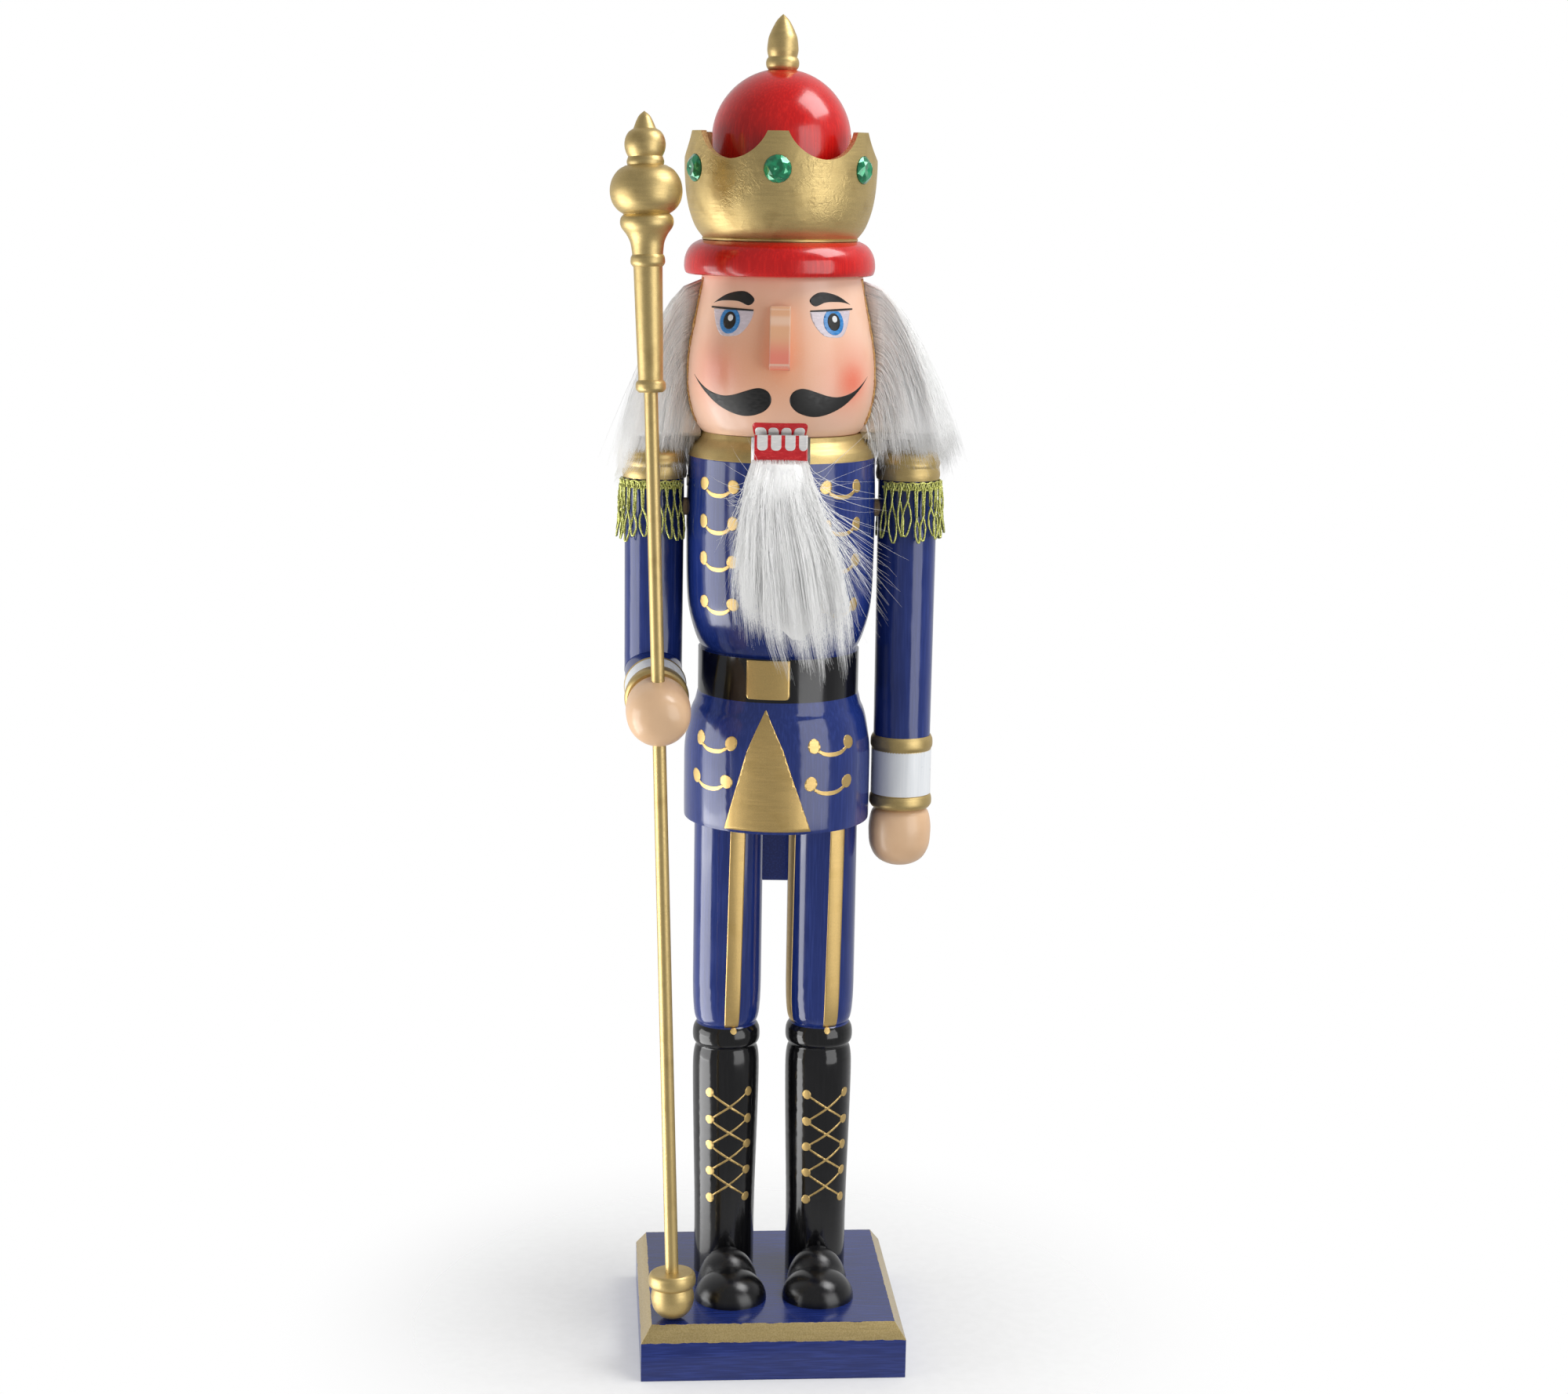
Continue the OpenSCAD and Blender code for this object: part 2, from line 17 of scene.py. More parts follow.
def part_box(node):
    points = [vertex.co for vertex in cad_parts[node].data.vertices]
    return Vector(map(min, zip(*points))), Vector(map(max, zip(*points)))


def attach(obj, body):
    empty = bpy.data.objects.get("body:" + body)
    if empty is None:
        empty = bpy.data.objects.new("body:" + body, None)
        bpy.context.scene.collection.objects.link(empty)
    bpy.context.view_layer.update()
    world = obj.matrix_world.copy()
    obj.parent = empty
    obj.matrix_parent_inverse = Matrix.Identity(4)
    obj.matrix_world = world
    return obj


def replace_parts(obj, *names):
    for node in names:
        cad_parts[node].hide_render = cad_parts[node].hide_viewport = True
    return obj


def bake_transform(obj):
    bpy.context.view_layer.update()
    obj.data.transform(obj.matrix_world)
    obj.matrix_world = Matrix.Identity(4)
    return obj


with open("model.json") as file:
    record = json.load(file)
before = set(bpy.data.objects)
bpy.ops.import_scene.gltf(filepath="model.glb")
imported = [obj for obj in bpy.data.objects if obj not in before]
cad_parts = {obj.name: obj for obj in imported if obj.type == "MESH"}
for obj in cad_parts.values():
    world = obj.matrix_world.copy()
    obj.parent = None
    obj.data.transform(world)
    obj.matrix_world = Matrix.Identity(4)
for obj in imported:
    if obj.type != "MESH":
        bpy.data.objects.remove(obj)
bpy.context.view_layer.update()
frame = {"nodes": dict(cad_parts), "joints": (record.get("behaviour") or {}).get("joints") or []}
NODES = frame["nodes"]
MM = 0.001

# ---------------------------------------------------------------- camera, floor and light
CAMERA_AT = (-88.7, -1234.5, 538.2)
CAMERA_TURN = 4.28
CAMERA_DOWN = 10.72
CAMERA_ROLL = 0.92
CAMERA_LENS = 62.7
SENSOR = 36.0


def place_camera():
    """The fitted camera, turned, tipped down and rolled."""
    turn, down, roll = (math.radians(a) for a in (CAMERA_TURN, CAMERA_DOWN, CAMERA_ROLL))
    ahead = Vector((math.sin(turn) * math.cos(down), math.cos(turn) * math.cos(down), -math.sin(down)))
    right = Vector((math.cos(turn), -math.sin(turn), 0.0))
    up = right.cross(ahead)
    tilted_right = right * math.cos(roll) + up * math.sin(roll)
    tilted_up = up * math.cos(roll) - right * math.sin(roll)
    data = bpy.data.cameras.new("camera")
    data.lens = CAMERA_LENS
    data.sensor_width = SENSOR
    data.clip_start, data.clip_end = 0.05, 20.0
    camera = bpy.data.objects.new("camera", data)
    axes = Matrix((tilted_right, tilted_up, -ahead)).transposed().to_4x4()
    camera.matrix_world = Matrix.Translation(Vector(CAMERA_AT) * MM) @ axes
    bpy.context.scene.collection.objects.link(camera)
    bpy.context.scene.camera = camera


def soft_box(name, turn, distance, height, size, radiance):
    """A rectangular light at a turn round the figure, facing its middle."""
    at = Vector((math.sin(math.radians(turn)) * distance, -math.cos(math.radians(turn)) * distance, height))
    data = bpy.data.lights.new(name, "AREA")
    data.shape = "RECTANGLE"
    data.size, data.size_y = size
    data.energy = radiance * math.pi * size[0] * size[1]
    light = bpy.data.objects.new(name, data)
    light.location = at
    light.rotation_euler = (Vector((0, 0, 0.35)) - at).to_track_quat("-Z", "Y").to_euler()
    light.visible_camera = False
    bpy.context.scene.collection.objects.link(light)


def studio_world(front, back):
    """A white backdrop whose light on the figure is brightest from behind."""
    world = bpy.data.worlds.new("studio")
    world.use_nodes = True
    tree = world.node_tree
    ramp = tree.nodes.new("ShaderNodeMapRange")
    ramp.interpolation_type = "SMOOTHSTEP"
    for socket, value in (("From Min", -0.3), ("From Max", 0.75), ("To Min", front), ("To Max", back)):
        ramp.inputs[socket].default_value = value
    split = tree.nodes.new("ShaderNodeSeparateXYZ")
    tree.links.new(tree.nodes.new("ShaderNodeTexCoord").outputs["Generated"], split.inputs[0])
    tree.links.new(split.outputs["Y"], ramp.inputs["Value"])
    white = tree.nodes.new("ShaderNodeMix")
    white.inputs[3].default_value = 1.0
    tree.links.new(tree.nodes.new("ShaderNodeLightPath").outputs["Is Camera Ray"], white.inputs[0])
    tree.links.new(ramp.outputs["Result"], white.inputs[2])
    tree.links.new(white.outputs[0], tree.nodes["Background"].inputs["Strength"])
    tree.nodes["Background"].inputs["Color"].default_value = (1, 1, 1, 1)
    bpy.context.scene.world = world


# ---------------------------------------------------------------- materials
class Paint:
    """A Principled material with short calls for the textures that feed it. Feature sizes are in mm."""

    def __init__(self, name, colour, sockets):
        self.material = bpy.data.materials.new(name)
        self.material.use_nodes = True
        self.tree = self.material.node_tree
        self.bsdf = self.tree.nodes["Principled BSDF"]
        self.bsdf.inputs["Base Color"].default_value = (*colour, 1)
        for socket, value in sockets.items():
            self.bsdf.inputs[socket].default_value = value
        self.normal = None

    def node(self, kind, **inputs):
        made = self.tree.nodes.new("ShaderNode" + kind)
        for key, value in inputs.items():
            self.feed(made.inputs[key.replace("_", " ")], value)
        return made

    def feed(self, socket, value):
        if isinstance(value, bpy.types.NodeSocket):
            self.tree.links.new(value, socket)
        else:
            socket.default_value = value

    def place(self):
        return self.node("TexCoord").outputs["Object"]

    def grain(self, feature, stretch=(1, 1, 1), detail=3.0):
        """Noise with features of this size, made longer along an axis by stretch."""
        at = self.node("Mapping", Vector=self.place(), Scale=[1 / s for s in stretch]).outputs["Vector"]
        return self.node("TexNoise", Vector=at, Scale=1 / (feature * MM), Detail=detail).outputs[0]

    def ranged(self, value, start, end, low=0.0, high=1.0):
        made = self.node("MapRange", Value=value, From_Min=start, From_Max=end, To_Min=low, To_Max=high)
        made.interpolation_type = "SMOOTHSTEP"
        return made.outputs["Result"]

    def maths(self, operation, *values):
        made = self.tree.nodes.new("ShaderNodeMath")
        made.operation = operation
        for socket, value in zip(made.inputs, values):
            self.feed(socket, value)
        return made.outputs[0]

    def axis(self, index):
        """One coordinate of the place, in mm."""
        return self.maths("MULTIPLY", self.node("SeparateXYZ", Vector=self.place()).outputs[index], 1 / MM)

    def mixed(self, share, first, second):
        made = self.tree.nodes.new("ShaderNodeMix")
        made.data_type = "RGBA"
        for socket, value in ((made.inputs[0], share), (made.inputs[6], first), (made.inputs[7], second)):
            self.feed(socket, (*value, 1) if isinstance(value, tuple) else value)
        return made.outputs[2]

    def colour(self, value):
        self.feed(self.bsdf.inputs["Base Color"], value)

    def rough(self, value):
        self.feed(self.bsdf.inputs["Roughness"], value)

    def relief(self, height, depth):
        """Adds relief of this depth to what is there already."""
        bump = self.node("Bump", Height=height, Distance=depth * MM, Strength=1.0)
        if self.normal:
            self.feed(bump.inputs["Normal"], self.normal)
        self.normal = bump.outputs["Normal"]
        self.feed(self.bsdf.inputs["Normal"], self.normal)


def lacquer(name, colour, light, gloss=0.13, coat=0.5, filled=0):
    """Gloss paint over turned wood: faint grain, slight orange peel and the odd cloudy patch.

    filled is the radius in mm to which the paint rounds the corners.
    """
    paint = Paint(name, colour, {"Coat Weight": coat, "Coat Roughness": 0.04})
    if filled:
        paint.normal = paint.node("Bevel", Radius=filled * MM).outputs["Normal"]
    wood = paint.grain(0.9, (1, 1, 22), 5)
    cloud = paint.grain(16)
    tone = paint.mixed(paint.ranged(wood, 0.42, 0.72), colour, light)
    paint.colour(paint.mixed(paint.ranged(cloud, 0.35, 0.75, 0, 0.35), tone, light))
    paint.rough(paint.ranged(cloud, 0.3, 0.7, gloss * 0.8, gloss * 1.5))
    paint.relief(wood, 0.006)
    paint.relief(paint.grain(3.2), 0.011)
    return paint.material


def gold_paint(name="gold_paint", colour=(0.6, 0.45, 0.19), deep=(0.34, 0.23, 0.08), gloss=0.42, brushed=1.0,
               rubbed=False):
    """Satin metallic paint: fine flake, brush drag round the piece, and deeper patches where it is thin."""
    paint = Paint(name, colour, {"Metallic": 0.85, "Coat Weight": 0.12, "Coat Roughness": 0.3})
    drag = paint.grain(0.45, (26, 26, 1), 4)
    flake = paint.grain(0.22, detail=1)
    patch = paint.grain(9, detail=4)
    darker, lighter = (tuple(c * share for c in colour) for share in (0.88, 1.1))
    tone = paint.mixed(paint.ranged(flake, 0.3, 0.7), darker, lighter)
    paint.colour(paint.mixed(paint.ranged(patch, 0.5, 0.8, 0, 0.5), tone, deep))
    paint.rough(paint.ranged(drag, 0.3, 0.7, gloss * 0.9, gloss * 1.2))
    paint.relief(drag, 0.012 * brushed)
    paint.relief(flake, 0.008)
    if rubbed:
        swirl = paint.node("TexNoise", Vector=paint.place(), Scale=1 / (3.2 * MM), Detail=6.0, Distortion=2.2)
        where = paint.ranged(paint.grain(22), 0.5, 0.66)
        paint.relief(paint.maths("MULTIPLY", swirl.outputs[0], where), 0.35)
    return paint.material


def skin(name="skin", base=(0.8, 0.53, 0.32), warm=(0.72, 0.45, 0.26), sprayed=()):
    """Satin flesh paint; each sprayed spot has its place, its size, its colour and its strength."""
    paint = Paint(name, base, {"Coat Weight": 0.2, "Coat Roughness": 0.15})
    cloud = paint.grain(14, detail=4)
    tone = paint.mixed(paint.ranged(cloud, 0.35, 0.75, 0, 0.6), base, warm)
    for centre, size, spot, strength in sprayed:
        gap = paint.node("VectorMath", Vector=paint.place())
        gap.operation = "DISTANCE"
        gap.inputs[1].default_value = [c * MM for c in centre]
        near = paint.ranged(gap.outputs["Value"], size * MM, 0, 0, strength)
        speckle = paint.maths("MULTIPLY", near, paint.ranged(paint.grain(0.5, detail=2), 0.1, 0.6, 0.75, 1))
        tone = paint.mixed(speckle, tone, spot)
    paint.colour(tone)
    paint.rough(paint.ranged(cloud, 0.3, 0.7, 0.28, 0.42))
    paint.relief(paint.grain(2.6), 0.012)
    paint.relief(paint.grain(0.5, (22, 22, 1)), 0.005)
    return paint.material


def nose_paint():
    """Flesh paint that reddens to the tip, with a pale band at the top and a painted highlight along the
    rounded edges.
    """
    skin_tone, pale, pink = (0.78, 0.42, 0.24), (0.86, 0.6, 0.45), (0.8, 0.24, 0.17)
    paint = Paint("nose_paint", skin_tone, {"Coat Weight": 0.2, "Coat Roughness": 0.15, "Roughness": 0.34})
    height = paint.axis(2)
    band = paint.maths("MULTIPLY", paint.ranged(height, 475, 477.5), paint.ranged(height, 481, 479))
    tone = paint.mixed(paint.ranged(height, 473, 462), skin_tone, pink)
    tone = paint.mixed(paint.maths("MULTIPLY", band, 0.7), tone, pale)
    # Painted highlight: the rounded edges are coloured pale wherever the bevel turns the normal away from the
    # flat faces.
    soft_edge = paint.node("Bevel", Radius=1.1 * MM)
    turn = paint.node("VectorMath", Vector=soft_edge.outputs["Normal"])
    turn.operation = "DISTANCE"
    paint.feed(turn.inputs[1], paint.node("NewGeometry").outputs["True Normal"])
    paint.colour(paint.mixed(paint.ranged(turn.outputs["Value"], 0.12, 0.4, 0, 0.75), tone, pale))
    paint.normal = soft_edge.outputs["Normal"]
    paint.relief(paint.grain(1.2), 0.012)
    return paint.material


def jaw_paint():
    """Blue lacquer on the lever, left pale near the mouth."""
    paint = Paint("jaw_paint", (0.01, 0.026, 0.165), {"Coat Weight": 0.4, "Coat Roughness": 0.05})
    grain = paint.grain(0.9, (1, 24, 1), 5)
    blue = paint.mixed(paint.ranged(grain, 0.42, 0.72), (0.008, 0.02, 0.13), (0.016, 0.036, 0.2))
    pale = paint.mixed(paint.ranged(grain, 0.42, 0.72), (0.55, 0.53, 0.5), (0.72, 0.7, 0.66))
    paint.colour(paint.mixed(paint.ranged(paint.axis(1), -37.6, -37.2), pale, blue))
    paint.rough(paint.ranged(grain, 0.3, 0.7, 0.14, 0.26))
    paint.normal = paint.node("Bevel", Radius=0.4 * MM).outputs["Normal"]
    paint.relief(grain, 0.015)
    return paint.material


def mark_paint(name, colour, light, gloss=0.22, coat=0.3):
    """Brushed-on paint of a small mark."""
    paint = Paint(name, colour, {"Coat Weight": coat, "Coat Roughness": 0.1})
    drag = paint.grain(0.8, (3, 3, 1), 4)
    paint.colour(paint.mixed(paint.ranged(drag, 0.35, 0.75), colour, light))
    paint.rough(paint.ranged(drag, 0.3, 0.7, gloss * 0.8, gloss * 1.3))
    paint.relief(drag, 0.012)
    return paint.material


FUR_LETS_THROUGH = 0.85


def fur():
    """Long white pile with painted shade: greyer streaks between its locks; its fine hairs pass most of the
    light on to those behind.
    """
    paint = Paint("fur", (0.99, 0.99, 0.98), {"Roughness": 0.6, "Sheen Weight": 0.5, "Sheen Roughness": 0.5,
                                               "Specular IOR Level": 0.25})
    lock = paint.grain(1.4, (1, 1, 18), 4)
    # Painted shade: streaks of pale grey stand in for the shade between the locks.
    paint.colour(paint.mixed(paint.ranged(lock, 0.3, 0.62), (0.93, 0.93, 0.93), (1, 1, 0.99)))
    paint.relief(paint.grain(0.45, (1, 1, 30), 4), 0.12)
    thin = paint.node("MixShader", Fac=FUR_LETS_THROUGH)
    through = paint.node("MixShader")
    paint.feed(thin.inputs[1], paint.bsdf.outputs[0])
    paint.feed(thin.inputs[2], paint.node("BsdfTransparent").outputs[0])
    paint.feed(through.inputs[0], paint.node("LightPath").outputs["Is Shadow Ray"])
    paint.feed(through.inputs[1], paint.bsdf.outputs[0])
    paint.feed(through.inputs[2], thin.outputs[0])
    paint.feed(paint.tree.nodes["Material Output"].inputs["Surface"], through.outputs[0])
    return paint.material


def bullion():
    """Metallised yarn, greenish gold."""
    paint = Paint("bullion", (0.6, 0.62, 0.16), {"Metallic": 0.75, "Roughness": 0.32})
    ply = paint.grain(0.5, detail=2)
    paint.colour(paint.mixed(paint.ranged(ply, 0.3, 0.7), (0.33, 0.36, 0.05), (0.78, 0.78, 0.3)))
    paint.rough(paint.ranged(ply, 0.3, 0.7, 0.22, 0.42))
    paint.relief(ply, 0.05)
    return paint.material


def stone():
    """Foil-backed green acrylic."""
    paint = Paint("green_stone", (0.0, 0.3, 0.11), {"Metallic": 0.4, "Roughness": 0.12, "Coat Weight": 1.0,
                                                    "Coat Roughness": 0.02, "Specular IOR Level": 0.7})
    fleck = paint.grain(2.6, detail=1)
    paint.colour(paint.mixed(paint.ranged(fleck, 0.35, 0.65), (0.0, 0.17, 0.07), (0.01, 0.36, 0.15)))
    return paint.material


def bare_wood():
    paint = Paint("bare_wood", (0.62, 0.43, 0.25), {"Roughness": 0.6})
    ring = paint.grain(0.7, (1, 1, 30), 5)
    paint.colour(paint.mixed(paint.ranged(ring, 0.3, 0.7), (0.5, 0.33, 0.18), (0.72, 0.54, 0.34)))
    paint.relief(ring, 0.04)
    return paint.material


def steel():
    paint = Paint("zinc_steel", (0.62, 0.62, 0.6), {"Metallic": 1.0})
    scratch = paint.grain(0.3, (1, 14, 14), 4)
    paint.colour(paint.mixed(paint.ranged(scratch, 0.3, 0.7), (0.5, 0.5, 0.48), (0.7, 0.7, 0.68)))
    paint.rough(paint.ranged(scratch, 0.3, 0.7, 0.25, 0.45))
    return paint.material


def glue(name, colour, deep):
    """A bead of hardened glue."""
    paint = Paint(name, colour, {"Coat Weight": 0.6, "Coat Roughness": 0.1, "Roughness": 0.35,
                                 "Subsurface Weight": 0.2, "Subsurface Scale": 0.001})
    paint.colour(paint.mixed(paint.ranged(paint.grain(1.6), 0.35, 0.65), colour, deep))
    paint.relief(paint.grain(0.9), 0.08)
    return paint.material


def plinth_paint():
    """Blue lacquer with gold brushed along the bevel, its edges slightly unsteady."""
    low, high = (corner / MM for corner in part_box("base"))
    gold_low, gold_in, wobble = 18.3, 4.9, 0.25
    paint = Paint("plinth_paint", (0.02, 0.025, 0.16), {"Coat Weight": 0.3, "Coat Roughness": 0.08})
    drift = paint.ranged(paint.grain(5), 0.25, 0.75, -wobble, wobble)
    from_side = [paint.maths("MINIMUM", paint.maths("SUBTRACT", paint.axis(i), low[i]),
                             paint.maths("SUBTRACT", high[i], paint.axis(i))) for i in (0, 1)]
    inward = paint.maths("MINIMUM", *from_side)
    near_edge = paint.maths("LESS_THAN", paint.maths("ADD", inward, drift), gold_in)
    high_up = paint.maths("GREATER_THAN", paint.maths("ADD", paint.axis(2), drift), gold_low)
    gold = paint.maths("MULTIPLY", near_edge, high_up)
    wood = paint.grain(0.8, (20, 1, 1), 5)
    blue = paint.mixed(paint.ranged(wood, 0.38, 0.75), (0.009, 0.022, 0.15), (0.022, 0.045, 0.25))
    flake = paint.ranged(paint.grain(0.6), 0.3, 0.7)
    paint.colour(paint.mixed(gold, blue, paint.mixed(flake, (0.5, 0.37, 0.15), (0.64, 0.5, 0.24))))
    paint.feed(paint.bsdf.inputs["Metallic"], paint.maths("MULTIPLY", gold, 0.85))
    duller = paint.maths("MULTIPLY", gold, 0.22)
    paint.rough(paint.maths("ADD", duller, paint.ranged(wood, 0.3, 0.7, 0.13, 0.22)))
    paint.normal = paint.node("Bevel", Radius=0.5 * MM).outputs["Normal"]
    paint.relief(paint.maths("MULTIPLY", wood, paint.maths("SUBTRACT", 1.0, gold)), 0.02)
    paint.relief(paint.grain(2.5), 0.012)
    return paint.material


def floor_paint():
    """Pale sweep that fades into the surround some way from the figure."""
    paint = Paint("floor_paint", (0.94, 0.94, 0.94), {"Roughness": 0.7, "Specular IOR Level": 0.2})
    paint.colour(paint.mixed(paint.ranged(paint.grain(6), 0.3, 0.7), (0.93, 0.93, 0.93), (0.96, 0.96, 0.96)))
    length = paint.node("VectorMath", Vector=paint.place())
    length.operation = "LENGTH"
    paint.feed(paint.bsdf.inputs["Alpha"], paint.ranged(length.outputs["Value"], 0.24, 0.06, 0, 0.75))
    return paint.material


# ---------------------------------------------------------------- shapes
def flow(points, steps=6):
    """A smooth line through the points."""
    last = len(points) - 1
    line = []
    for i in range(last):
        a, b, c, d = (Vector(points[min(max(j, 0), last)]) for j in (i - 1, i, i + 1, i + 2))
        for k in range(steps):
            t = k / steps
            line.append(0.5 * (2 * b + (c - a) * t + (2 * a - 5 * b + 4 * c - d) * t * t
                               + (3 * b - a - 3 * c + d) * t ** 3))
    return [*line, Vector(points[last])]


def oval(half_width, half_height, steps=28):
    return [(half_width * math.cos(2 * math.pi * i / steps), half_height * math.sin(2 * math.pi * i / steps))
            for i in range(steps)]


def block(left, right, low, high, low_round=0.0, high_round=0.0, steps=6):
    """A rectangle with rounded lower and upper corners."""
    outline = []
    for x, z, r, start in ((right, high, high_round, 0), (left, high, high_round, 90),
                           (left, low, low_round, 180), (right, low, low_round, 270)):
        inward = (-1 if x == right else 1, -1 if z == high else 1)
        for k in range(steps + 1 if r else 1):
            angle = math.radians(start + 90 * k / steps)
            outline.append((x + inward[0] * r + r * math.cos(angle), z + inward[1] * r + r * math.sin(angle)))
    return outline


def stroke(points, width, steps=6):
    """Outline of a brush stroke along a smooth line, fullest in its middle."""
    line = flow(points, steps)
    sides = ([], [])
    for i, point in enumerate(line):
        ahead = (line[min(i + 1, len(line) - 1)] - line[max(i - 1, 0)]).normalized()
        half = width / 2 * (0.72 + 0.28 * math.sin(math.pi * i / (len(line) - 1)))
        across = Vector((-ahead[1], ahead[0])) * half
        sides[0].append(point + across)
        sides[1].append(point - across)
    return sides[0] + sides[1][::-1]


def mirrored(outline):
    """The outline with left and right swapped, still running the same way round."""
    return [(-x, z) for x, z in outline][::-1]


def middle_of(node):
    """The middle of a CAD node's box, in mm."""
    low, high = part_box(node)
    return (Vector(low) + Vector(high)) / 2 / MM


OUTSIDE = 110


class Surface:
    """The outside of a CAD node, felt for along rays towards an upright axis."""

    def __init__(self, node, x=0.0, y=0.0):
        self.tree = BVHTree.FromObject(NODES[node], bpy.context.evaluated_depsgraph_get())
        self.axis = Vector((x, y, 0.0))

    def at(self, turn, z, lift=0.0):
        angle = math.radians(turn)
        outward = Vector((math.sin(angle), -math.cos(angle), 0.0))
        start = self.axis + outward * OUTSIDE + Vector((0, 0, z))
        hit, normal, _, _ = self.tree.ray_cast(start * MM, -outward)
        if hit is None:
            raise ValueError(f"nothing to paint on at turn {turn:.1f}, height {z:.1f}")
        return hit / MM + normal * lift

    def radius(self, turn, z):
        point = self.at(turn, z) - self.axis
        return math.hypot(point.x, point.y)


def cut_up(bm, axis, step):
    """Cuts a flat mesh into strips, so that it can follow a curved surface."""
    places = [v.co[axis] for v in bm.verts]
    normal = Vector((axis == 0, axis == 1, 0))
    for i in range(math.ceil(min(places) / step), math.floor(max(places) / step) + 1):
        bmesh.ops.bisect_plane(bm, geom=[*bm.verts, *bm.edges, *bm.faces], dist=1e-4,
                               plane_co=normal * (i * step), plane_no=normal)


# How far a film of paint stands proud of its surface, and how far it reaches into it
FILM = 0.07
SUNK = 0.05


class Marks:
    """Painted marks of one colour: thin closed films on a surface, gathered into one piece."""

    def __init__(self, surface):
        self.surface, self.points, self.faces = surface, [], []

    def add(self, turn, z, outline, coats=1, lean=0.0):
        """lean is how far the mark turns per mm of height, in degrees."""
        radius = self.surface.radius(turn, z)
        bm = bmesh.new()
        corners = [bm.verts.new((u, v, 0)) for u, v in outline]
        for triangle in tessellate_polygon([[c.co for c in corners]]):
            bm.faces.new([corners[i] for i in triangle])
        cut_up(bm, 0, 1.0)
        cut_up(bm, 1, 1.6)
        bm.verts.index_update()
        first, count = len(self.points), len(bm.verts)
        for lift in (FILM * coats, -SUNK):
            for vert in bm.verts:
                spin = turn + math.degrees(vert.co.x / radius) + lean * vert.co.y
                self.points.append(self.surface.at(spin, z + vert.co.y, lift) * MM)
        for face in bm.faces:
            ring = [first + v.index for v in face.verts]
            self.faces += [ring, [i + count for i in reversed(ring)]]
        for edge in bm.edges:
            if edge.is_boundary:
                a, b = (first + v.index for v in edge.verts)
                self.faces.append([a, b, b + count, a + count])
        bm.free()

    def piece(self, name, material, slot, body="root"):
        return add_piece(name, self.points, self.faces, material, body, tidy=True)


def add_piece(name, points, faces, material, body, tidy=False):
    """A mesh object from points in metres, riding on a body."""
    mesh = bpy.data.meshes.new(name)
    mesh.from_pydata([tuple(p) for p in points], [], faces)
    if tidy:
        bm = bmesh.new()
        bm.from_mesh(mesh)
        bmesh.ops.recalc_face_normals(bm, faces=bm.faces)
        bm.to_mesh(mesh)
        bm.free()
    mesh.polygons.foreach_set("use_smooth", [True] * len(mesh.polygons))
    mesh.materials.append(material)
    piece = bpy.data.objects.new(name, mesh)
    bpy.context.scene.collection.objects.link(piece)
    if body:
        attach(piece, body)
    return piece


def sweep(path, radius, sides, lobes=0, lay=1.0, lobe_depth=0.0):
    """Points and faces of a round or laid section carried along a path; radius may change along it."""
    path = np.asarray(path, float)
    count = len(path)
    radius = np.broadcast_to(radius, count)
    ahead = np.roll(path, -1, 0) - np.roll(path, 1, 0)
    ahead[0], ahead[-1] = path[1] - path[0], path[-1] - path[-2]
    ahead /= np.linalg.norm(ahead, axis=1)[:, None]
    side = np.cross(ahead[0], (0.31, 0.22, 0.93))
    travelled = np.r_[0, np.cumsum(np.linalg.norm(np.diff(path, axis=0), axis=1))]
    rings = []
    for i in range(count):
        side = side - ahead[i] * side.dot(ahead[i])
        side /= np.linalg.norm(side)
        other = np.cross(ahead[i], side)
        angle = 2 * np.pi * np.arange(sides) / sides
        spin = angle + 2 * np.pi * travelled[i] / lay
        swell = radius[i] * (1 + lobe_depth * np.cos(lobes * spin))
        across, up = np.cos(angle) * swell, np.sin(angle) * swell
        rings.append(path[i] + across[:, None] * side + up[:, None] * other)
    faces = []
    for i in range(count - 1):
        a, b = i * sides, (i + 1) * sides
        faces += [[a + k, a + (k + 1) % sides, b + (k + 1) % sides, b + k] for k in range(sides)]
    faces += [list(range(sides))[::-1], [(count - 1) * sides + k for k in range(sides)]]
    return np.concatenate(rings), faces


def turned_about(points, turn):
    """Points turned round the figure's axis, in degrees."""
    c, s = math.cos(math.radians(turn)), math.sin(math.radians(turn))
    return points @ np.array([[c, s, 0], [-s, c, 0], [0, 0, 1]])


def strands(name, paths, width, body="root"):
    """Closed three-sided hairs that taper along their paths; paths is hairs x points x 3, in mm."""
    hairs, steps, _ = paths.shape
    ahead = np.gradient(paths, axis=1)
    ahead /= np.linalg.norm(ahead, axis=2)[..., None]
    side = np.cross(ahead, (0.21, 0.97, 0.11))
    side /= np.linalg.norm(side, axis=2)[..., None]
    other = np.cross(ahead, side)
    taper = np.interp(np.linspace(0, 1, steps), (0, 0.15, 0.6, 1), (0.8, 1, 0.85, 0.16))
    half = (width[:, None] / 2 * taper)[..., None]
    corners = [paths + half * (side * math.cos(a) + other * math.sin(a)) for a in (0, 2.1, 4.2)]
    points = np.stack(corners, 2).reshape(-1, 3) * MM
    start = (np.arange(hairs) * steps * 3)[:, None, None] + (np.arange(steps - 1) * 3)[None, :, None]
    quads = [start + np.array(q) for q in ((0, 1, 4, 3), (1, 2, 5, 4), (2, 0, 3, 5))]
    faces = np.concatenate([q.reshape(-1, 4) for q in quads]).tolist()
    ends = np.arange(hairs)[:, None] * steps * 3
    faces += (ends + np.array((2, 1, 0))).tolist()
    faces += (ends + np.array((0, 1, 2)) + (steps - 1) * 3).tolist()
    return add_piece(name, points, faces, FUR, body)


